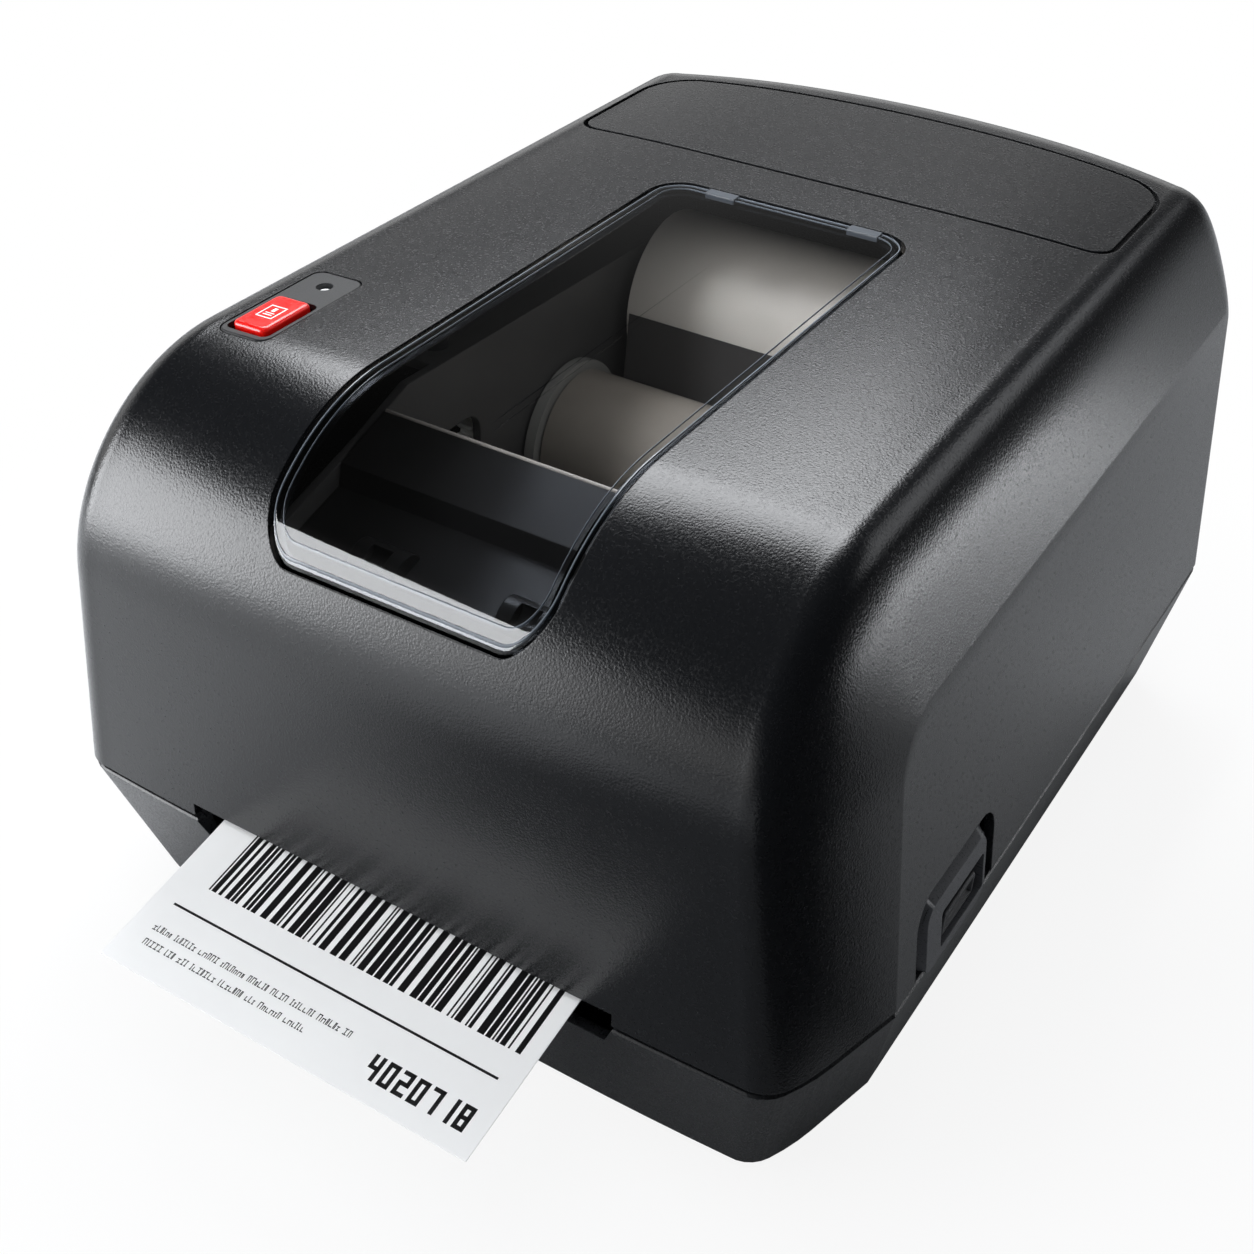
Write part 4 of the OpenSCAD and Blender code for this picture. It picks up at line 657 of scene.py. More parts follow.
@dataclass(frozen=True)
class CaseForm:
    """Form of the clamshell: a side outline carried across the machine.

    At a station x from the middle the outline lies n millimetres below the top and behind the
    front face. n is 0 on the flat middle, grows with the crown, turns down through the rounded
    edge and then follows a straight facet to the side wall.
    """

    half: float = 108.0
    length: float = 276.0
    seam_z: float = 45.6
    top_z: float = 151.5
    rise: float = 0.0375
    nose_r: float = 50.0
    tail_r: float = 20.0
    edge_r: float = 9.5
    shoulder_w: float = 13.0
    shoulder_turn: float = 13.0
    facet_w: float = 9.8
    facet_depth: float = 36.0
    draft: float = 0.11
    bow_r: float = 310.0
    corner_r: float = 5.0
    crown: float = 1.0
    window_w: float = 71.0
    window_rim: float = 3.0
    wall: float = 2.6
    across_steps: int = 16
    arc_steps: int = 22
    side_rows: int = 16

    def edge(self) -> np.ndarray:
        """Rounded edge between the top and the facet as rows of x and n.

        The edge turns at its radius until only the shoulder's turn is left, and the shoulder then
        eases into the facet with a curvature that falls evenly to nothing. Its points are the sums
        of short steps along the cosine and sine of the angle turned so far; the whole curve is
        then slid along x until it ends on the line of the facet.

        Returns:
            Rows of x and n, from the top outwards.
        """
        slope = self.facet_w / self.facet_depth
        last = math.radians(self.shoulder_turn)
        first = math.pi / 2 - math.atan(slope) - last
        count = 400
        s = np.linspace(0, 1, count + 1)[1:]
        angle = np.concatenate([first * s, first + last * (1 - (1 - s) ** 2)])
        step = np.repeat([first * self.edge_r / count, self.shoulder_w / count], count)
        steps = np.stack([np.cos(angle) * step, np.sin(angle) * step], axis=1)
        curve = np.concatenate([[[0.0, 0.0]], np.cumsum(steps, axis=0)])
        slide = self.half - self.facet_w + slope * curve[-1, 1] - curve[-1, 0]
        keep = np.unique(np.linspace(0, 2 * count, 2 * self.arc_steps + 1).astype(int))
        return curve[keep] + [slide, 0.0]

    @property
    def edge_x(self) -> float:
        """Distance of the start of the rounded edge from the middle."""
        return float(self.edge()[0, 0])

    def stations(self) -> np.ndarray:
        """Stations across the machine, from the left side to the right.

        The crown is a square law from the flat middle to the rounded edge. The facet is a
        straight line with its stations closer together towards the side wall.

        Returns:
            Rows of x and n.
        """
        arc = self.edge()
        edge_x, start = arc[0, 0], arc[-1]
        arc[:, 1] += self.crown * np.linspace(1, 0, len(arc))
        lean = self.draft * (self.top_z - self.seam_z)
        flat_x = (self.window_w / 2 + self.window_rim) * edge_x / (edge_x - lean)
        s = np.linspace(0, 1, 15)[:-1, None]
        crown = np.concatenate([flat_x + (edge_x - flat_x) * s, self.crown * s**2], axis=1)
        s = 1 - (1 - np.linspace(0, 1, 15)[1:, None]) ** 1.5
        facet = start + (np.array([self.half, self.facet_depth]) - start) * s
        half = np.concatenate([crown, arc, facet])
        flat = np.stack([np.linspace(-flat_x, flat_x, 2 * self.across_steps + 1)[1:-1],
                         np.zeros(2 * self.across_steps - 1)], axis=1)
        return np.concatenate([half[::-1] * [-1, 1], flat, half])

    def rear_in(self, x: np.ndarray) -> np.ndarray:
        """Distance of the bowed rear wall in front of its rearmost point.

        The bow is x squared over twice its radius, and a quarter circle rounds each corner.

        Args:
            x: Places across the machine.

        Returns:
            The distances in millimetres.
        """
        x = np.abs(x)
        past = np.maximum(x - self.half + self.corner_r, 0)
        corner = self.corner_r - np.sqrt(np.maximum(self.corner_r**2 - past**2, 0))
        return x**2 / (2 * self.bow_r) + corner

    def lean(self, x: np.ndarray, z: np.ndarray, inset: float) -> np.ndarray:
        """Place across the machine once the side walls lean in with height.

        Args:
            x: Places across the machine at the seam's height.
            z: Heights.
            inset: Distance inside the outer skin.

        Returns:
            The places after the lean, which is whole at the edge and fades to none in the middle.
        """
        share = np.minimum(1.0, np.abs(x) / self.edge_x)
        lean = self.draft * (z - self.seam_z) * share
        return np.sign(x) * (np.abs(x) * (self.half - inset) / self.half - lean)

    def outlines(self, inset: float, low_z: float) -> np.ndarray:
        """Side outlines at all stations, from the lower front edge over the top to the lower rear.

        The nose and the tail are arcs tangent to the front face, the rising top and the rear wall.

        Args:
            inset: Distance inside the outer skin.
            low_z: Height of the lower edge.

        Returns:
            Array of stations by points by x, y, z.
        """
        x, n = (column[:, None] for column in self.stations().T)
        front = n * 1.05 + inset
        top = self.top_z - n * 0.95 - inset
        rear = self.length - self.rear_in(x) - inset
        nose_r = np.maximum(self.nose_r - n - inset, 12)
        tail_r = np.maximum(self.tail_r - n * 0.45 - inset, 2)
        up = math.sqrt(1 + self.rise**2)
        slope = math.atan(self.rise)
        nose = [front + nose_r, top + self.rise * (front + nose_r) - nose_r * up]
        tail = [rear - tail_r, top + self.rise * (rear - tail_r) - tail_r * up]
        g = np.linspace(math.pi, math.pi / 2 + slope, 37)[None]
        nose_arc = [nose[0] + nose_r * np.cos(g), nose[1] + nose_r * np.sin(g)]
        g = np.linspace(math.pi / 2 + slope, 0, 19)[None]
        tail_arc = [tail[0] + tail_r * np.cos(g), tail[1] + tail_r * np.sin(g)]
        s = np.linspace(0, 1, self.side_rows + 1)[None, :-1]
        rise = [front + 0 * s, low_z + (nose_arc[1][:, :1] - low_z) * s]
        fall = [rear + 0 * s, low_z + (tail_arc[1][:, -1:] - low_z) * (s[:, ::-1])]
        s = np.linspace(0, 1, 34)[None, 1:-1]
        flat = [a[:, -1:] + (b[:, :1] - a[:, -1:]) * s for a, b in zip(nose_arc, tail_arc)]
        runs = zip(rise, nose_arc, flat, tail_arc, fall)
        y, z = (np.concatenate(parts, axis=1) for parts in runs)
        return np.stack([self.lean(x, z, inset), y, z], axis=-1)

    def skin(self, inset: float, low_z: float) -> tuple[np.ndarray, list, list]:
        """One closed-topped skin of the case: the outlines joined, with a wall at each side.

        Args:
            inset: Distance inside the outer skin.
            low_z: Height of the lower edge.

        Returns:
            Its points, its faces, and the numbers of the points round its lower edge.
        """
        grid = self.outlines(inset, low_z)
        count, size = grid.shape[:2]
        points = [grid.reshape(-1, 3)]
        faces = grid_faces(count, size)
        start = count * size
        rows = self.side_rows
        share = np.linspace(0, 1, rows + 1)[:, None]
        edges = []
        for outline, side in ((grid[0], -1), (grid[-1], 1)):
            top = outline[rows : size - rows]
            z = low_z + (top[:, 2] - low_z) * share
            y = top[:, 1] + 0 * share
            x = self.lean(np.full_like(z, side * self.half), z, inset)
            wall = np.stack([x, y, z], axis=-1)
            points.append(wall.reshape(-1, 3))
            faces += grid_faces(rows + 1, wall.shape[1], start)
            edges.append(start + np.arange(wall.shape[1]))
            start += wall.shape[0] * wall.shape[1]
        front = np.arange(count) * size
        rear = front + size - 1
        loop = np.concatenate([front, edges[1][1:-1], rear[::-1], edges[0][::-1][1:-1]])
        return np.concatenate(points), faces, loop.tolist()

    def solid(self, name: str, inset: float) -> bpy.types.Object:
        """The whole case above the seam as one solid, moved in by the inset.

        An inset solid starts a little lower, so that it cuts through the seam cleanly.

        Args:
            name: Name of the piece.
            inset: Distance inside the outer skin.

        Returns:
            The new object.
        """
        points, faces, loop = self.skin(inset, self.seam_z - (1.0 if inset else 0.0))
        return mesh_object(name, points, faces + [loop])

    def shell(self, name: str) -> bpy.types.Object:
        """The case above the seam as a thin wall, open below.

        Args:
            name: Name of the piece.

        Returns:
            The new object: an outer and an inner skin joined round their lower edges.
        """
        outer, faces, loop = self.skin(0.0, self.seam_z)
        inner, inner_faces, inner_loop = self.skin(self.wall, self.seam_z)
        start = len(outer)
        faces += [[start + v for v in face] for face in inner_faces]
        inner_loop = [start + v for v in inner_loop]
        after, inner_after = loop[1:] + loop[:1], inner_loop[1:] + inner_loop[:1]
        faces += [list(face) for face in zip(loop, after, inner_after, inner_loop)]
        return mesh_object(name, np.concatenate([outer, inner]), faces)

    def top_at(self, y: float) -> float:
        """Height of the flat middle of the top at a distance behind the front face."""
        return self.top_z + self.rise * y


@dataclass
class Controls:
    """The feed button, its plate and the status light on the left of the top.

    Heights are square to the plate, up from the cover's surface.
    """

    form: CaseForm
    x: float = -70.3
    front: float = 42.0
    rear: float = 78.0
    width: float = 14.6
    corner_r: float = 3.0
    tilt: float = 2.0
    plate_z: tuple = (-1.28, -0.28, 0.04)
    chamfer: float = 0.32
    button_y: float = 53.1
    button: tuple = (10.0, 16.4)
    key_z: tuple = (-3.4, 0.2)
    key_r: float = 1.0
    dish: tuple = ((1.5, 1.19), (2.4, 1.12), (3.4, 1.08), (4.6, 1.06))
    stem_r: float = 2.0
    stem_z: tuple = (-5.55, -3.0)
    sign_half: tuple = (2.4, 3.0)
    sign_t: float = 0.34
    sign_z: tuple = (1.13, 1.06)
    light_y: float = 71.4
    light_r: float = 1.6
    flange_w: float = 0.7
    light_z: tuple = (-6.9, -1.7, -1.3)
    dome: float = 0.4

    @property
    def middle(self) -> float:
        """Middle of the plate behind the front face."""
        return (self.front + self.rear) / 2

    def place(self, points: np.ndarray) -> np.ndarray:
        """Takes points from the plate's own plane, with Z square to the top, to the machine.

        The plane turns by the top's slope about X, then by the tilt about Y, and then moves to
        the plate's middle on the surface.

        Args:
            points: Array whose last axis is x, y and the height in the plate's plane.

        Returns:
            The same points in the machine's millimetres.
        """
        a, b = math.atan(self.form.rise), -math.radians(self.tilt)
        cos_a, sin_a, cos_b, sin_b = math.cos(a), math.sin(a), math.cos(b), math.sin(b)
        about_x = np.array([[1, 0, 0], [0, cos_a, -sin_a], [0, sin_a, cos_a]])
        about_y = np.array([[cos_b, 0, sin_b], [0, 1, 0], [-sin_b, 0, cos_b]])
        origin = [self.x, self.middle, self.form.top_at(self.middle) - self.form.crown * 0.75]
        return points @ (about_y @ about_x).T + origin

    def area(self, grow: float) -> np.ndarray:
        """Outline of the plate.

        Args:
            grow: How far it is grown all round.

        Returns:
            Rows of x and y in the plate's plane.
        """
        half = (self.rear - self.front) / 2
        corner = (self.width / 2 + grow, half + grow)
        return rounded((-corner[0], -corner[1]), corner, self.corner_r + grow)

    def key_outline(self, grow: float, radius: float) -> np.ndarray:
        """Outline of the button in the plate's plane.

        Args:
            grow: How far it is grown all round.
            radius: Radius of its corners.

        Returns:
            Rows of x and y.
        """
        y = self.button_y - self.middle
        w, l = self.button[0] / 2 + grow, self.button[1] / 2 + grow
        return rounded((-w, y - l), (w, y + l), radius)

    def hole(self, radius: float) -> np.ndarray:
        """Circle about the light in the plate's plane."""
        return circle((0.0, self.light_y - self.middle), radius, 32)

    def stack(self, name: str, outline: np.ndarray, *heights: float) -> bpy.types.Object:
        """A prism square to the plate through the given heights."""
        return loft(name, np.stack([self.place(lift(outline, h)) for h in heights]))

    def cutters(self) -> list:
        """Solids that open the cover for the plate, the button and the light.

        Returns:
            The closed objects.
        """
        return [
            self.stack("cut_plate", self.area(0.25), -1.3, 8),
            self.stack("cut_key", self.key_outline(1.5, 0.6), -20, 8),
            self.stack("cut_light", self.hole(self.light_r + 1.2), -20, 8),
        ]

    def build(self) -> None:
        """Builds the plate, the button with its pictogram, and the light."""
        self.build_plate()
        self.build_button()
        self.build_light()

    def build_plate(self) -> None:
        """The plate: a slab with a fine chamfer, open for the button and the light."""
        low, shoulder, top = self.plate_z
        loops = [lift(self.area(0), low), lift(self.area(0), shoulder),
                 lift(self.area(-self.chamfer), top)]
        plate = loft("control_plate_trim", np.stack([self.place(loop) for loop in loops]))
        carve(plate, [self.stack("cut_key", self.key_outline(1.2, 2), -6, 8),
                      self.stack("cut_light", self.hole(self.light_r + 0.45), -6, 8)])
        fasten(plate, "cover", "control_trim", TRIM_ABS, "control_plate")

    def build_button(self) -> None:
        """The key cap: straight sides, a round shoulder, and a top that dips to a shallow dish."""
        base, side = self.key_z
        levels = [(0.0, base), (0.0, side)]
        levels += [(self.key_r * (1 - math.cos(a)), side + self.key_r * math.sin(a))
                   for a in np.linspace(0, math.pi / 2, 8)[1:]]
        levels += self.dish
        loops = []
        for inward, height in levels:
            corner = max(1.6 - inward * 0.55, 0.15)
            loops.append(self.place(lift(self.key_outline(-inward, corner), height)))
        key = loft("feed_button_cap", np.stack(loops), 40)
        stem = circle((0.0, self.button_y - self.middle), self.stem_r, 24)
        carve(key, [self.stack("stem", stem, *self.stem_z)], "UNION", 40)
        fasten(key, "button", "red_button", RED_KEY, "feed_button")
        self.build_pictogram()

    def build_pictogram(self) -> None:
        """A plain feed sign: a label in a frame, with two lines and a bar that moves out."""
        w, l, t = *self.sign_half, self.sign_t
        boxes = [(-w, -l, w, t - l), (-w, l - t, w, l),
                 (-w, t - l, t - w, l - t), (w - t, t - l, w, l - t),
                 (-1.3, -1.7, 1.3, t - 1.7), (-1.3, -0.8, 1.3, t - 0.8), (-0.5, 0.2, 0.5, 1.9)]
        outlines = corners_of(boxes) + [0.0, self.button_y - self.middle]
        top, low = (self.place(lift(outlines, height)) for height in self.sign_z)
        fasten(slabs("feed_pictogram", top, low), "button", "light_pipe", WHITE_PRINT)

    def build_light(self) -> None:
        """The end of the light pipe: a rod with a domed face."""
        foot, flange, face = self.light_z
        wide = self.light_r + self.flange_w
        levels = [(wide, foot), (wide, flange), (self.light_r, flange), (self.light_r, face)]
        levels += [(self.light_r * math.cos(a), face + self.dome * math.sin(a))
                   for a in np.linspace(0, 1.45, 7)[1:]]
        loops = np.stack([self.place(lift(self.hole(radius), z)) for radius, z in levels])
        pipe = loft("status_light_lens", loops)
        fasten(pipe, "cover", "light_pipe", LIGHT_PIPE, "status_light")


@dataclass
class Cover:
    """The hinged cover with its name panel, window opening and inner bosses.

    The mouth and the slot for each hinge leaf are given as two opposite corners, and the strike
    of each latch as blocks between two corners on the right side.
    """

    form: CaseForm
    controls: Controls
    window: Window
    window_gap: float = 1.05
    panel_half: float = 78.0
    panel_front: float = 193.0
    panel_rear: float = 250.5
    panel_corners: tuple = (5.0, 16.0)
    groove_w: float = 1.45
    groove_t: float = 1.7
    latch_front: float = 47.5
    latch_rear: float = 91.0
    latch_top: float = 66.5
    latch_r: float = 8.0
    latch_x: tuple = (94.0, 112.0)
    mouth: tuple = (-59.3, -2.0, 59.3, 5.6)
    mouth_z: tuple = (40.0, 49.2)
    leaf_x: tuple = (66.85, 76.0)
    leaf: tuple = (255.0, 45.7, 282.0, 48.9)
    strike: tuple = (((95, 65.5, 60), (97, 80, 84)), ((93.6, 65.5, 58.1), (95, 80, 60.3)),
                     ((95, 65.5, 58.1), (97, 80, 61)), ((96, 69.5, 76), (102.6, 76, 84)))
    boss_x: float = 68.5
    boss_y: tuple = (110.0, 215.0)
    boss_r: float = 4.0
    boss_low: float = 124.0
    bore_r: float = 1.52
    bore_deep: float = 8.0
    lip_at: tuple = (78.75, 120.75)
    lip_r: float = 0.55

    def panel_outline(self, grow: float) -> np.ndarray:
        """Plan of the name panel: square-fronted with small corners, and a rear edge that bows.

        The rear edge is an arc concentric with the case's rear wall. Each rear corner is an arc
        between it and the side.

        Args:
            grow: How far the plan is grown all round.

        Returns:
            Rows of x and y, anticlockwise from the right side.
        """
        r_front, r_rear = (radius + grow for radius in self.panel_corners)
        half, front = self.panel_half + grow, self.panel_front - grow
        bow = self.form.bow_r - (self.form.length - self.panel_rear) + grow
        centre_y = self.panel_rear - bow + grow
        x = half - r_rear
        y = centre_y + math.sqrt((bow - r_rear) ** 2 - x**2)
        g_end = math.atan2(y - centre_y, x)
        g = np.linspace(0, g_end, 13)
        right = np.stack([x + r_rear * np.cos(g), y + r_rear * np.sin(g)], axis=1)
        g = np.linspace(g_end, math.pi - g_end, 60)[1:-1]
        rear = np.stack([bow * np.cos(g), centre_y + bow * np.sin(g)], axis=1)
        left = right[::-1] * [-1, 1]
        # A rounded rectangle's second half holds its two front corners
        corners = np.split(rounded((-half, front), (half, y), r_front, 8), 2)[1]
        return np.concatenate([right, rear, left, corners])

    def build(self) -> None:
        """Builds the cover's shell and the panel in its rear."""
        self.build_shell()
        self.build_panel()

    def build_shell(self) -> None:
        """The shell, opened for window, mouth, latches, hinge arms, controls and panel."""
        shell = self.form.shell("cover_shell")
        top, seam = self.form.top_z, self.form.seam_z
        recess = prism("cut_panel", self.panel_outline(self.groove_w), top - 20, top + 30)
        carve(recess, [self.form.solid("under", self.groove_t)])
        opening = self.window.opening(self.window_gap)
        cutters = [recess, prism("cut_window", opening, top - 60, top + 30)]
        cutters.append(prism("cut_mouth", corners_of([self.mouth])[0], *self.mouth_z))
        arch = rounded((self.latch_front, seam - 20), (self.latch_rear, self.latch_top),
                       self.latch_r, 12)
        leaf = corners_of([self.leaf])[0]
        for side in (-1, 1):
            for name, plan, (near, far) in (("cut_latch", arch, self.latch_x),
                                            ("cut_leaf", leaf, self.leaf_x)):
                cutters.append(prism(name, plan, side * near, side * far, "x"))
        cutters += self.controls.cutters()
        carve(shell, cutters)
        fasten(shell, "cover", "cover_plastic", COVER_ABS, "top_cover")
        self.build_inside()
        self.build_lip()

    def build_inside(self) -> None:
        """The strikes that the latches hold and the bosses that the ribbon frame is screwed to."""
        for name, side in (("left", -1), ("right", 1)):
            strike, *others = (block(f"latch_strike_{name}", low, high, side)
                               for low, high in self.strike)
            carve(strike, others, "UNION")
            fasten(strike, "cover", "inner_black", INNER_ABS)
            for end, y in zip(("front", "rear"), self.boss_y):
                centre = (side * self.boss_x, y)
                top = self.form.top_at(y) - self.form.wall / 2 - self.form.crown
                plan, bore = circle(centre, self.boss_r, 40), circle(centre, self.bore_r, 40)
                low = self.boss_low
                boss = prism(f"frame_boss_{name}_{end}", plan, low, top)
                carve(boss, [prism("bore", bore, low - 4, low + self.bore_deep)])
                fasten(boss, "cover", "inner_black", INNER_ABS)

    def build_lip(self) -> None:
        """The half-round lip on the rear edge of the ribbon shroud, coloured pale as a painted
        highlight.
        """
        low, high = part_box("ribbon_shroud")
        section = circle(self.lip_at, self.lip_r, 16)
        lip = prism("ribbon_shroud_lip", section, low.x / MM + 0.3, high.x / MM - 0.3, "x")
        fasten(lip, "cover", "inner_black", LIP_HIGHLIGHT_PAINT)

    def build_panel(self) -> None:
        """The bare name panel, set flush in a fine groove."""
        top = self.form.top_z
        panel = prism("panel_plan", self.panel_outline(0), top - 20, top + 30)
        carve(panel, [self.form.solid("within", 0.0)], "INTERSECT")
        carve(panel, [self.form.solid("under", self.groove_t - 0.02)])
        panel.name = "name_panel_bare"
        fasten(panel, "cover", "cover_plastic", COVER_ABS, "name_panel")


@dataclass
class Window:
    """The smoked window: a bent sheet with a rolled edge, carried along the side outline."""

    form: CaseForm
    low: tuple = (-35.5, 5.9)
    high: tuple = (35.5, 171.5)
    radius: float = 9.0
    thickness: float = 2.2
    roll_r: float = 0.6
    set_in: float = 0.15
    tabs: tuple = ((-22.7, -14.2), (18.5, 27.0))
    tab_y: tuple = (168.2, 171.3)
    tab_depth: tuple = (1.2, -0.28)

    def opening(self, grow: float) -> np.ndarray:
        """Plan of the sheet's opening in the cover.

        Args:
            grow: Gap round the sheet; the front has seven tenths of it.

        Returns:
            Rows of x and y.
        """
        low = (self.low[0] - grow, self.low[1] - grow * 0.7)
        high = (self.high[0] + grow, self.high[1] + grow)
        return rounded(low, high, self.radius + grow, 14)

    def on_outline(self, y: np.ndarray, inset: np.ndarray) -> np.ndarray:
        """Height of the side outline at y, once the outline is moved in by the inset.

        In front of the nose's centre this is a circle, and behind it the rising top.

        Args:
            y: Places behind the front face.
            inset: Depth below the outline at each place.

        Returns:
            The heights.
        """
        f = self.form
        up = math.sqrt(1 + f.rise**2)
        centre_z = f.top_z + f.rise * f.nose_r - f.nose_r * up
        r = f.nose_r - inset
        arc = centre_z + np.sqrt(np.maximum(r**2 - (y - f.nose_r) ** 2, 0))
        flat = f.top_z + f.rise * y - inset * up
        return np.where(y < f.nose_r - f.rise * r, arc, flat)

    def loop(self, shrink: float, inset: float) -> np.ndarray:
        """One loop of the sheet, which follows the case's outline.

        The long sides have their points closer together at both ends, by a sine law.

        Args:
            shrink: How far the plan's outline is drawn in.
            inset: Depth below the case's outline.

        Returns:
            Rows of x, y, z, anticlockwise from the right side.
        """
        half = self.high[0] - shrink
        radius = max(self.radius - shrink, 0.02)
        x0, y0, x1, y1 = -half, self.low[1] + shrink, half, self.high[1] - shrink
        turn = np.linspace(0, math.pi / 2, 13)
        cos, sin = np.cos(turn), np.sin(turn)
        s = (np.sin(np.linspace(-math.pi / 2, math.pi / 2, 61)) + 1) / 2
        long = y0 + radius + (y1 - y0 - 2 * radius) * s[1:-1]
        t = np.linspace(0, 1, 26)[1:-1]
        wide = x0 + radius + (x1 - x0 - 2 * radius) * t
        parts = [lift(long[:, None], x1)[:, ::-1],
                 [x1 - radius, y1 - radius] + radius * np.stack([cos, sin], axis=1),
                 lift(wide[::-1, None], y1),
                 [x0 + radius, y1 - radius] + radius * np.stack([-sin, cos], axis=1),
                 lift(long[::-1, None], x0)[:, ::-1],
                 [x0 + radius, y0 + radius] + radius * np.stack([-cos, -sin], axis=1),
                 lift(wide[:, None], y0),
                 [x1 - radius, y0 + radius] + radius * np.stack([sin, -cos], axis=1)]
        plan = np.concatenate(parts)
        height = self.on_outline(plan[:, 1], np.full(len(plan), inset))
        return np.concatenate([plan, height[:, None]], axis=1)

    def build(self) -> None:
        """Outer face, rolled edge and inner face as loops that shrink to the middle line."""
        roll = [(self.roll_r * (1 - math.cos(a)), self.set_in + self.roll_r * (1 - math.sin(a)))
                for a in np.linspace(0, math.pi / 2, 5)]
        # Loops close together at the edge and farther apart inwards, to just short of the middle
        inward = [1.2, 2.2, 3.6, 5.5, 8, 11, 14.5, 18, 22, 26, 30, 33, 35.45]
        loops = [self.loop(d, self.thickness) for d in inward[::-1]]
        loops += [self.loop(0.5, self.thickness), self.loop(0.0, self.thickness - 0.5)]
        loops += [self.loop(d, h) for d, h in roll]
        loops += [self.loop(d, self.set_in) for d in inward]
        sheet = loft("smoked_window_pane", np.stack(loops), 40)
        fasten(sheet, "cover", "smoked_window", SMOKED, "window")
        self.build_edges()
        self.build_tabs()

    def ring(self, name: str, outer: float, inner: float, top: float, depth: float,
             finish: Finish) -> None:
        """A thin frame that follows the sheet between two distances inside its outline.

        Args:
            name: Name of the piece.
            outer: Distance of its outer side inside the sheet's outline.
            inner: Distance of its inner side inside the sheet's outline.
            top: Depth of its upper face below the case's outline.
            depth: Depth of its lower face.
            finish: What it is made of.
        """
        corners = ((outer, top), (inner, top), (inner, depth), (outer, depth))
        piece = ring_piece(name, np.stack([self.loop(*corner) for corner in corners]))
        fasten(piece, "cover", "smoked_window", finish)

    def build_edges(self) -> None:
        """Painted highlights as light grey rings on the clear sheet's arrises, and the dark ledge
        that shows under its border.
        """
        self.ring("window_outer_arris", 0.42, 0.70, 0.06, 0.5, EDGE_HIGHLIGHT_PAINT)
        self.ring("window_inner_arris", 2.45, 2.57, 0.11, 0.5, EDGE_HIGHLIGHT_PAINT)
        self.ring("window_border", 0.75, 2.42, 2.24, 2.5, BORDER)

    def build_tabs(self) -> None:
        """Two clear moulded tabs on the rear edge of the sheet, drawn opaque grey as painted light.
        """
        for side, (x0, x1) in zip(("left", "right"), self.tabs):
            x, y = corners_of([(x0, self.tab_y[0], x1, self.tab_y[1])])[0].T
            loops = [np.stack([x, y, self.on_outline(y, np.full(4, depth))], axis=1)
                     for depth in self.tab_depth]
            fasten(loft(f"window_tab_{side}", np.stack(loops)), "cover", "smoked_window", TAB_CLEAR)


# ---- Base and label --------------------------------------------------------------------


@dataclass
class LatchSurround:
    """The bevelled arch that rises from the base round each latch, and the release tab's cap.

    Each outline is given as y, z, y, z of two opposite corners, with its corner radius after it.
    """

    form: CaseForm
    outer: tuple = (49.7, 41.4, 89.8, 65.2, 7.0)
    inner: tuple = (53.4, 41.4, 86.6, 60.6, 4.0)
    recess: tuple = (61.3, 44.7, 85.4, 55.2, 1.2)
    tab: tuple = (63.6, 45.4, 81.7, 52.2, 1.0)
    slope_x: float = 103.6
    back_x: float = 102.0
    tab_x: tuple = (104.1, 107.0)
    tab_edge: float = 0.4
    rim_w: float = 1.1
    floor_deep: float = 0.9

    def leaned(self, outline: np.ndarray, x: float, side: int) -> np.ndarray:
        """An outline stood up and leaned in as the case's side leans above the seam.

        Args:
            outline: Rows of y and z.
            x: Its distance from the middle at the seam.
            side: 1 for the right side, -1 for the left.

        Returns:
            Rows of x, y, z.
        """
        lean = self.form.draft * np.maximum(outline[:, 1:] - self.form.seam_z, 0.0)
        return np.concatenate([side * (x - lean), outline], axis=1)

    def build(self) -> None:
        """The arch slopes up to a face in line with the base, with a recess for the tab."""
        half = self.form.half
        wide, narrow, hole = (rounded(box[:2], box[2:4], box[4], 14)
                              for box in (self.outer, self.inner, self.recess))
        steps = ((wide, self.back_x), (wide, self.slope_x), (narrow, half), (hole, half),
                 (hole, self.back_x))
        for name, side in (("left", -1), ("right", 1)):
            loops = np.stack([self.leaned(outline, x, side) for outline, x in steps])
            slope = ring_piece(f"latch_surround_{name}", loops, 40)
            # The slope's lighter colour is painted light
            fasten(slope, "base", "base_plastic", SURROUND_LIGHT_PAINT)
            self.build_tab(name, side)

    def build_tab(self, name: str, side: int) -> None:
        """The cap of the tab: a dished rectangle whose rim stands round a shallow floor.

        Args:
            name: "left" or "right".
            side: 1 for the right side, -1 for the left.
        """
        low, high = self.tab_x
        y0, z0, y1, z1, radius = self.tab
        steps = ((0.0, low), (0.0, high - self.tab_edge), (self.tab_edge, high), (self.rim_w, high),
                 (self.rim_w + 0.4, high - self.floor_deep))
        loops = []
        for shrink, x in steps:
            outline = rounded((y0 + shrink, z0 + shrink), (y1 - shrink, z1 - shrink),
                              max(radius - shrink, 0.2), 6)
            loops.append(np.roll(lift(outline, side * x), 1, axis=1))
        cap = loft(f"release_tab_cap_{name}", np.stack(loops), 40)
        fasten(cap, f"release_{name}", "latch_black", LATCH_ABS)


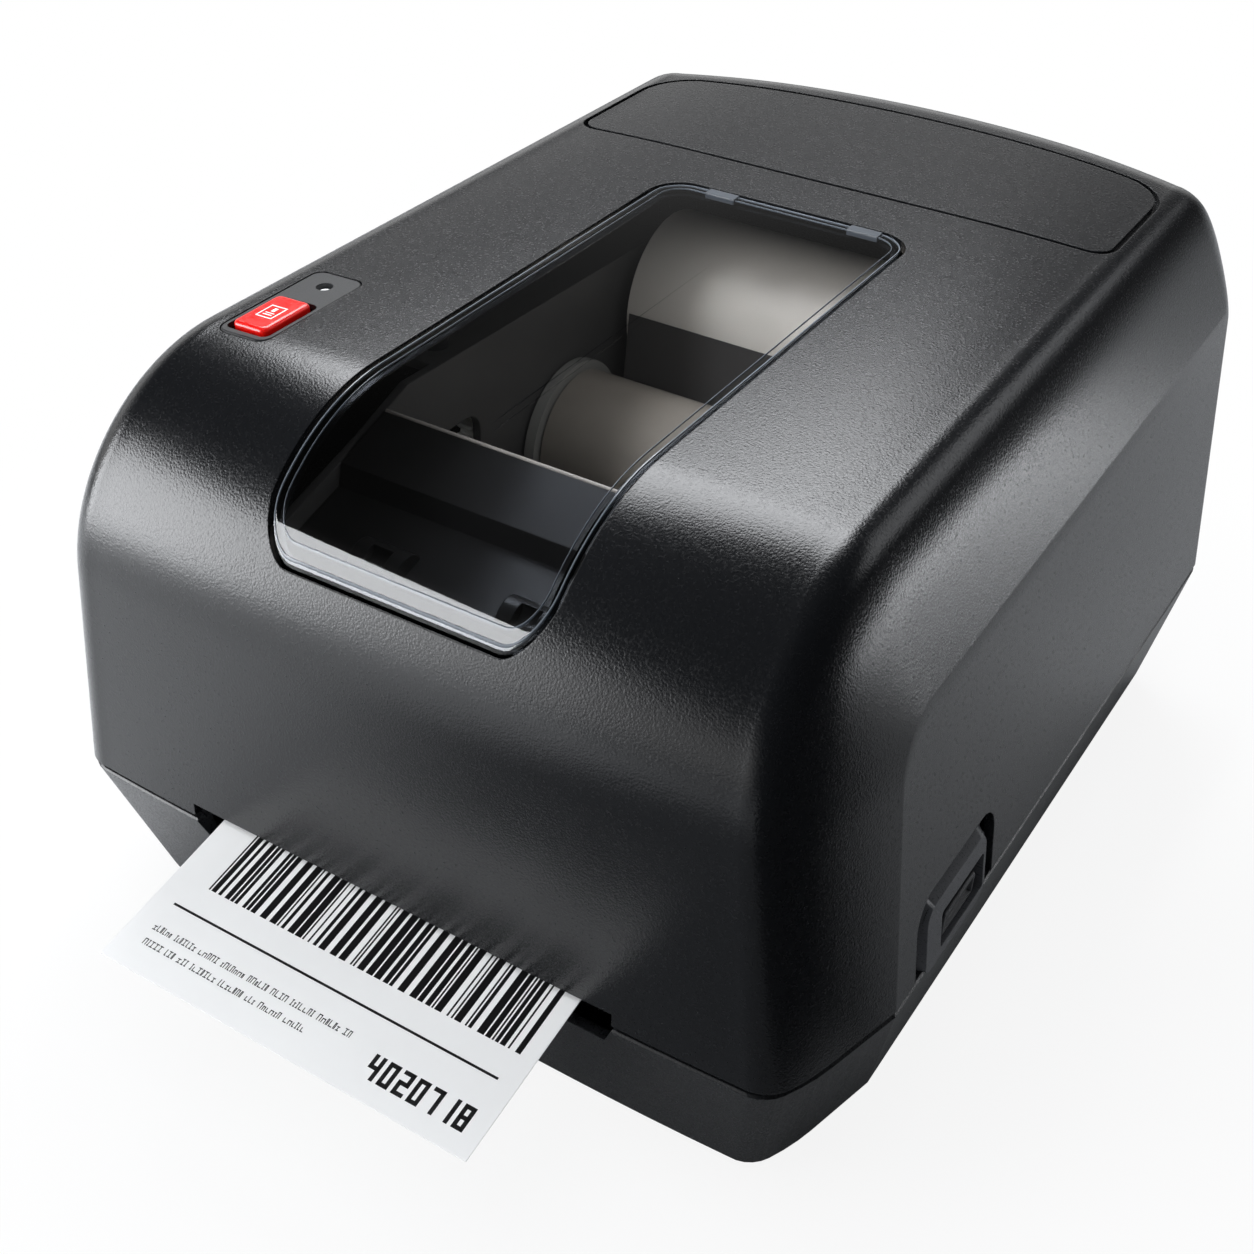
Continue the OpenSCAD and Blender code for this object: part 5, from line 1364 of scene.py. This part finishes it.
@dataclass
class PrintedLabel:
    """The label that hangs out of the slot, and the print on it.

    Places on the label are x across the machine and v out along the paper, from the slot's edge.
    """

    edge_y: float = 6.0
    edge_z: float = 48.4
    droop: float = 12.6
    ink_z: tuple = (0.11, 0.04)
    bars_x: tuple = (-40.6, 46.8)
    bars_v: tuple = (1.0, 22.0)
    rule: tuple = (-45.0, 28.6, 46.0, 29.2)
    digits_at: tuple = (20.2, 36.6)
    digit: tuple = (2.9, 5.9)
    digit_pitch: float = 3.88
    digit_stroke: float = 1.0
    dash_stroke: tuple = (0.22, 0.25)

    def point(self, plan: np.ndarray, above: float) -> np.ndarray:
        """Points on the drooping label, raised off the paper.

        Args:
            plan: Array whose last axis is x and v.
            above: Height square to the paper.

        Returns:
            The points as x, y, z.
        """
        a = math.radians(self.droop)
        x, v = plan[..., 0], plan[..., 1]
        return np.stack([x, self.edge_y - v * math.cos(a) - above * math.sin(a),
                         self.edge_z - v * math.sin(a) + above * math.cos(a)], axis=-1)

    def build(self) -> None:
        """Prints a bar pattern, a rule, two lines of dashes and a row of plain digits."""
        boxes = self.bars() + [self.rule]
        boxes += self.dashes(-44.8, 34.4, 13.0, 2.2, 5) + self.dashes(-44.2, 38.4, 3.5, 2.2, 9)
        boxes += self.digits()
        top, low = (self.point(corners_of(boxes), above) for above in self.ink_z)
        fasten(slabs("label_print", top, low), "base", "label_paper", BLACK_INK)

    def bars(self) -> list:
        """Bars of made-up widths from one fixed seed, running out of the slot.

        Returns:
            Boxes of x, v, x, v. Every second width is a gap, drawn a fifth narrower.
        """
        dice = np.random.default_rng(11)
        widths = dice.choice([0.45, 0.45, 0.9, 1.35, 1.8], 120)
        (x, end), (near, far) = self.bars_x, self.bars_v
        boxes = []
        for number, width in enumerate(widths):
            if x + width > end:
                break
            if number % 2 == 0:
                boxes.append((x, near, x + width, far))
            x += width * (1.0 if number % 2 == 0 else 0.8)
        return boxes

    def dashes(self, x0: float, v0: float, x1: float, height: float, seed: int) -> list:
        """A line of small strokes that stands for a line of small print.

        Each sign is two uprights under a bar, an upright on a foot, or a stem between two bars.

        Args:
            x0: Left end of the line.
            v0: Its far edge from the reader.
            x1: Its right end.
            height: Height of the signs.
            seed: Seed of its random draws.

        Returns:
            Boxes of x, v, x, v.
        """
        dice = np.random.default_rng(seed)
        upright, bar = self.dash_stroke
        base = v0 + height
        boxes, x = [], x0
        while x < x1 - 1:
            word = dice.integers(3, 8)
            for _ in range(word):
                if x > x1 - 1:
                    break
                w = float(dice.choice([0.5, 0.75, 0.95]))
                h = float(dice.choice([0.7, 1.0, 1.0])) * height * 0.75
                kind = dice.integers(0, 3)
                left = (x, base - h, x + upright, base)
                right = (x + w - upright, base - h, x + w, base)
                head, foot = (x, base - h, x + w, base - h + bar), (x, base - bar, x + w, base)
                stem = (x + w / 2 - upright / 2, base - h, x + w / 2 + upright / 2, base)
                boxes += ([left, right, head], [left, foot], [head, foot, stem])[kind]
                x += w + 0.28
            x += 0.9
        return boxes

    def digits(self) -> list:
        """A row of plain seven-stroke digits at the lower right.

        Returns:
            Boxes of x, v, x, v, one for each stroke.
        """
        strokes = {"a": (0, 0, 1, 0), "g": (0, 0.5, 1, 0.5), "d": (0, 1, 1, 1), "f": (0, 0, 0, 0.5),
                   "b": (1, 0, 1, 0.5), "e": (0, 0.5, 0, 1), "c": (1, 0.5, 1, 1)}
        shapes = {"0": "abcdef", "1": "bc", "2": "abged", "4": "fgbc", "7": "abc", "8": "abcdefg"}
        t = self.digit_stroke
        w, h = (size - t for size in self.digit)
        boxes = []
        for place, digit in enumerate("4020718"):
            x, v = self.digits_at[0] + place * self.digit_pitch, self.digits_at[1]
            for name in shapes[digit]:
                ax, av, bx, bv = strokes[name]
                boxes.append((x + ax * w, v + av * h, x + bx * w + t, v + bv * h + t))
        return boxes


# ---- Carried-over nodes ----------------------------------------------------------------

NODE_FINISH = {
    "base_tray": BASE_ABS, "foot_pads": RUBBER, "base_screws": STEEL, "media_well": INNER_ABS,
    "rear_panel": INNER_ABS, "main_board": BOARD, "dc_jack": CONNECTOR, "usb_port": STEEL,
    "serial_port": STEEL, "switch_frame": INNER_ABS, "power_rocker": LATCH_ABS,
    "platen_frame": INNER_ABS, "platen_bush_left": GEAR, "platen_bush_right": GEAR,
    "platen_roller": PLATEN, "platen_shaft": STEEL, "platen_gear": GEAR, "idler_gear": GEAR,
    "motor_pinion": BRASS, "feed_motor": MOTOR, "tear_bar": STEEL, "gap_sensor": CONNECTOR,
    "label_roll": ROLL_PAPER, "label_core": CARDBOARD, "label_strip": PAPER,
    "roll_holder_left": HOLDER_ABS, "roll_holder_right": HOLDER_ABS, "holder_pinion": GEAR,
    "media_guide_left": HOLDER_ABS, "media_guide_right": HOLDER_ABS, "latch_left": LATCH_ABS,
    "latch_right": LATCH_ABS, "hinge_pins": STEEL, "hinge_leaves": COVER_ABS,
    "button_board": BOARD, "ribbon_plate_left": FRAME_ABS, "ribbon_plate_right": FRAME_ABS,
    "ribbon_shroud": SHROUD_ABS, "ribbon_bars": STEEL, "ribbon_guide_roller": TAKEN_UP,
    "head_bracket": HEAD_METAL, "pivot_rod": STEEL, "thermal_head": HEAD_CERAMIC,
    "head_springs": STEEL, "ribbon_supply_roll": LEADER, "ribbon_supply_core": SPOOL,
    "supply_brake": GEAR,
    "ribbon_takeup_roll": TAKEN_UP, "ribbon_takeup_core": SPOOL, "takeup_gear": GEAR,
    "ribbon_gear": GEAR, "ribbon_film": RIBBON_WAX, "cover_screws": STEEL,
}


def dress_nodes() -> None:
    """Gives each carried-over CAD node the finish of its real material."""
    for name, finish in NODE_FINISH.items():
        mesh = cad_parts[name].data
        material = finish.material()
        for number in range(max(1, len(mesh.materials))):
            if number < len(mesh.materials):
                mesh.materials[number] = material
            else:
                mesh.materials.append(material)
        LOG.info("%s dressed as %s", name, finish.name)


# ---- Studio ----------------------------------------------------------------------------


def facing(start: Vector, end: Vector) -> Matrix:
    """Placement at one point with -Z towards another, as lamps and cameras look."""
    return Matrix.Translation(start) @ (end - start).to_track_quat("-Z", "Y").to_matrix().to_4x4()


@dataclass
class Studio:
    """Floor, lamps, background and camera.

    Places are in the printer's millimetres. The camera stands at camera_at, turned by its
    heading, its pitch below level and its roll in degrees, with its focal length in pixels of
    the frame.
    """

    camera_at: tuple = (185.25, -211.86, 322.39)
    yaw: float = 30.77
    pitch: float = 35.14
    roll: float = 2.42
    focal_px: float = 1708.76
    frame_px: float = 1254.0
    middle: tuple = (0.0, 110.0, 100.0)
    front: tuple = (0.0, 0.0, 110.0)
    lamp_colour: tuple = (0.955, 0.972, 1.0)
    spot_from: tuple = (-60.0, -90.0, 500.0)
    spot_to: tuple = (15.0, 165.0, 95.0)
    spot_watts: float = 16.0
    floor_half: float = 6000.0
    floor_z: float = -0.05
    flag: tuple = ((152, -170, 0), (152, 60, 0), (152, 60, 210), (152, -170, 210))

    def build(self) -> None:
        """Builds the whole studio."""
        self.build_floor()
        self.build_world()
        self.build_flag()
        self.build_lamps()
        self.build_spot()
        self.build_camera()

    def build_lamps(self) -> None:
        """The soft boxes: broad ones from the rear and front, strips for edges, and plain fills.

        The window is polished, so its pane has a front box of its own and none of the broad boxes
        from the rear and front.
        """
        pane = "smoked_window_pane"
        rear_left = self.softbox("rear_left_box", self.middle, -38, 52, 900, (640, 420), 8.2)
        front_left = self.softbox("front_left_box", self.front, -126.5, 8, 800, (474, 540), 9.2)
        front_middle = self.softbox("front_middle_box", self.front, -150.0, 8, 800, (190, 500), 2.3)
        for lamp in (rear_left, front_left, front_middle):
            self.link_light(lamp, pane, "EXCLUDE")
        pane_box = self.softbox("pane_box", self.front, -141, 8, 800, (860, 540), 12.0)
        self.link_light(pane_box, pane, "INCLUDE")
        self.softbox("rear_right_strip", (90, 110, 140), 46, -8.5, 650, (380, 44), 7.6)
        self.softbox("rear_right_card", (90, 60, 150), 27, 31, 900, (520, 250), 1.3)
        glow = self.softbox("inside_glow", (0, 112, 60), 0, 90, 86, (62, 150), 1.7)
        fill = self.softbox("overhead_fill", self.middle, -165, 68, 900, (600, 600), 2.6)
        glow.visible_glossy = fill.visible_glossy = False

    def build_spot(self) -> None:
        """A small lamp over the front that reaches the rolls through the window."""
        lamp = bpy.data.lights.new("window_spot", "SPOT")
        lamp.energy, lamp.shadow_soft_size = self.spot_watts, 0.06
        lamp.spot_size, lamp.spot_blend = math.radians(20), 0.5
        spot = bpy.data.objects.new("window_spot", lamp)
        bpy.context.scene.collection.objects.link(spot)
        spot.matrix_world = facing(Vector(to_frame(self.spot_from)), Vector(to_frame(self.spot_to)))
        spot.visible_glossy = False

    def link_light(self, lamp: bpy.types.Object, name: str, state: str) -> None:
        """Keeps a lamp off one piece or off all others, as flags between them would.

        Args:
            lamp: The lamp.
            name: Name of the piece.
            state: EXCLUDE keeps the lamp off the piece, INCLUDE keeps it off all others.
        """
        group = bpy.data.collections.new(lamp.name + "_lights")
        group.objects.link(bpy.data.objects[name])
        lamp.light_linking.receiver_collection = group
        group.collection_objects[0].light_linking.link_state = state

    def sheet(self, name: str, corners: tuple, cloth: str) -> tuple:
        """A flat studio sheet with an empty material of its own.

        Args:
            name: Name of the sheet.
            corners: Its four corners in millimetres.
            cloth: Name of its material.

        Returns:
            The sheet and its material's node tree.
        """
        mesh = bpy.data.meshes.new(name)
        mesh.from_pydata(to_frame(corners).tolist(), [], [[0, 1, 2, 3]])
        sheet = bpy.data.objects.new(name, mesh)
        bpy.context.scene.collection.objects.link(sheet)
        material = bpy.data.materials.new(cloth)
        material.use_nodes = True
        material.node_tree.nodes.clear()
        mesh.materials.append(material)
        return sheet, material.node_tree

    def build_flag(self) -> None:
        """A black card beside the right front corner that only reflections see."""
        flag, tree = self.sheet("black_flag", self.flag, "black_flag_cloth")
        cloth = add_node(tree, "ShaderNodeBsdfDiffuse", {"Color": linear("060606")})
        add_node(tree, "ShaderNodeOutputMaterial", {"Surface": cloth.outputs[0]})
        flag.visible_camera = flag.visible_diffuse = False
        flag.visible_shadow = flag.visible_transmission = False

    def build_floor(self) -> None:
        """A wide pale floor that keeps the shadow, and far off is seen white as the background.

        Near the case, reflections see painted reflections on the floor in place of its matt white:
        dark in front, mid-grey behind, and pale at the left, each eased into the next by a smooth
        step of the place on the floor.
        """
        size, z = self.floor_half, self.floor_z
        corners = ((-size, -size, z), (size, -size, z), (size, size, z), (-size, size, z))
        floor, tree = self.sheet("studio_floor", corners, "matt_white_sweep")
        ray = add_node(tree, "ShaderNodeLightPath")
        place = add_node(tree, "ShaderNodeTexCoord").outputs["Object"]
        length = add_node(tree, "ShaderNodeVectorMath", {0: place}, operation="LENGTH")
        reach = length.outputs["Value"]
        matt = add_node(tree, "ShaderNodeBsdfDiffuse", {"Color": linear("e8e9ea")})
        glow = add_node(tree, "ShaderNodeEmission", {"Color": linear("ffffff"), "Strength": 1.0})
        share = smooth_step(tree, reach, (0.13, 0.32), (0.88, 1.0))
        seen = add_node(tree, "ShaderNodeMixShader",
                        {0: share, 1: matt.outputs[0], 2: glow.outputs[0]})
        # Painted reflection: colours that only glossy rays see on the floor near the case, darker
        # in front as painted shade and paler at the left as painted light
        along = add_node(tree, "ShaderNodeVectorMath", {0: place, 1: (-0.35, 1.0, 0.0)},
                         operation="DOT_PRODUCT").outputs["Value"]
        behind = add_node(tree, "ShaderNodeMix",
                          {0: smooth_step(tree, along, (-0.22, -0.06), (0.0, 1.0)),
                           6: linear("606162"), 7: linear("b2b3b4")}, data_type="RGBA")
        across = add_node(tree, "ShaderNodeSeparateXYZ", {0: place}).outputs["X"]
        tint = add_node(tree, "ShaderNodeMix",
                        {0: smooth_step(tree, across, (-0.15, -0.03), (1.0, 0.0)),
                         6: behind.outputs[2], 7: linear("f0f1f2")}, data_type="RGBA")
        # The painted reflection colour, seen only by glossy rays near the case
        painted_reflection = add_node(tree, "ShaderNodeBsdfDiffuse", {"Color": tint.outputs[2]})
        near = smooth_step(tree, reach, (0.35, 0.85), (1.0, 0.0))
        dull = add_node(tree, "ShaderNodeMath", {0: near, 1: ray.outputs["Is Glossy Ray"]},
                        operation="MULTIPLY")
        lit = add_node(tree, "ShaderNodeMixShader",
                       {0: dull.outputs[0], 1: matt.outputs[0], 2: painted_reflection.outputs[0]})
        pick = add_node(tree, "ShaderNodeMixShader",
                        {0: ray.outputs["Is Camera Ray"], 1: lit.outputs[0], 2: seen.outputs[0]})
        add_node(tree, "ShaderNodeOutputMaterial", {"Surface": pick.outputs[0]})

    def build_world(self) -> None:
        """White where it is seen, an even fill where it lights, dark overhead in reflections."""
        world = bpy.data.worlds.new("studio_world")
        bpy.context.scene.world = world
        world.use_nodes = True
        tree = world.node_tree
        tree.nodes.clear()
        ray = add_node(tree, "ShaderNodeLightPath")
        where = add_node(tree, "ShaderNodeTexCoord")
        parts = add_node(tree, "ShaderNodeSeparateXYZ", {0: where.outputs["Generated"]})
        sky = smooth_step(tree, parts.outputs["Z"], (0.15, 0.5), (1.0, 0.03))
        right = smooth_step(tree, parts.outputs["X"], (-0.3, 0.25), (1.0, 0.04))
        ceiling = add_node(tree, "ShaderNodeMath", {0: sky, 1: right}, operation="MULTIPLY")
        white = add_node(tree, "ShaderNodeBackground", {"Color": linear("ffffff"), "Strength": 1.0})
        fill = add_node(tree, "ShaderNodeBackground", {"Color": linear("f4f7fb"), "Strength": 0.30})
        mirror = add_node(tree, "ShaderNodeBackground",
                          {"Color": linear("ffffff"), "Strength": ceiling.outputs[0]})
        seen = add_node(tree, "ShaderNodeMath",
                        {0: ray.outputs["Is Camera Ray"], 1: ray.outputs["Is Transmission Ray"]},
                        operation="MAXIMUM")
        first = add_node(tree, "ShaderNodeMixShader",
                         {0: ray.outputs["Is Glossy Ray"], 1: fill.outputs[0],
                          2: mirror.outputs[0]})
        last = add_node(tree, "ShaderNodeMixShader",
                        {0: seen.outputs[0], 1: first.outputs[0], 2: white.outputs[0]})
        add_node(tree, "ShaderNodeOutputWorld", {"Surface": last.outputs[0]})

    def softbox(self, name: str, aim: tuple, heading: float, height: float, distance: float,
                size: tuple, radiance: float) -> bpy.types.Object:
        """A rectangular lamp that faces a point of the case.

        Args:
            name: Name of the lamp.
            aim: The point that it faces, in millimetres.
            heading: Degrees from straight behind the case towards its right.
            height: Degrees above level.
            distance: How far away it stands, in millimetres.
            size: Width and height in millimetres.
            radiance: How bright its face is, where 1 is white.

        Returns:
            The lamp.
        """
        turn, rise = math.radians(heading), math.radians(height)
        level, up = math.cos(rise), math.sin(rise)
        at = aim + distance * np.array([math.sin(turn) * level, math.cos(turn) * level, up])
        lamp = bpy.data.lights.new(name, "AREA")
        lamp.shape = "RECTANGLE"
        lamp.size, lamp.size_y = size[0] * MM, size[1] * MM
        lamp.color = self.lamp_colour
        lamp.energy = radiance * math.pi * lamp.size * lamp.size_y
        box = bpy.data.objects.new(name, lamp)
        bpy.context.scene.collection.objects.link(box)
        box.matrix_world = facing(Vector(to_frame(at)), Vector(to_frame(aim)))
        box.visible_camera = False
        return box

    def build_camera(self) -> None:
        """The camera, by its heading, its pitch below level and its roll."""
        yaw, pitch, roll = (math.radians(v) for v in (self.yaw, self.pitch, self.roll))
        level = math.cos(pitch)
        forward = Vector((-math.sin(yaw) * level, math.cos(yaw) * level, -math.sin(pitch)))
        across = Vector((math.cos(yaw), math.sin(yaw), 0))
        above = across.cross(forward)
        right = math.cos(roll) * across + math.sin(roll) * above
        up = -math.sin(roll) * across + math.cos(roll) * above
        turn = Matrix((right, up, -forward)).transposed().to_4x4()
        data = bpy.data.cameras.new("camera")
        data.sensor_width = 36.0
        data.lens = self.focal_px * data.sensor_width / self.frame_px
        data.clip_start, data.clip_end = 0.02, 30.0
        camera = bpy.data.objects.new("camera", data)
        camera.matrix_world = Matrix.Translation(Vector(to_frame(self.camera_at))) @ turn
        bpy.context.scene.collection.objects.link(camera)
        bpy.context.scene.camera = camera


def main() -> None:
    """Builds the printer class by class, then the studio."""
    logging.basicConfig(level=logging.INFO, format="%(name)s: %(message)s")
    bpy.context.scene.view_settings.view_transform = "Standard"
    form = CaseForm()
    controls = Controls(form)
    dress_nodes()
    window = Window(form)
    Cover(form, controls, window).build()
    window.build()
    controls.build()
    LatchSurround(form).build()
    PrintedLabel().build()
    Studio().build()


if __name__ == "__main__":
    main()
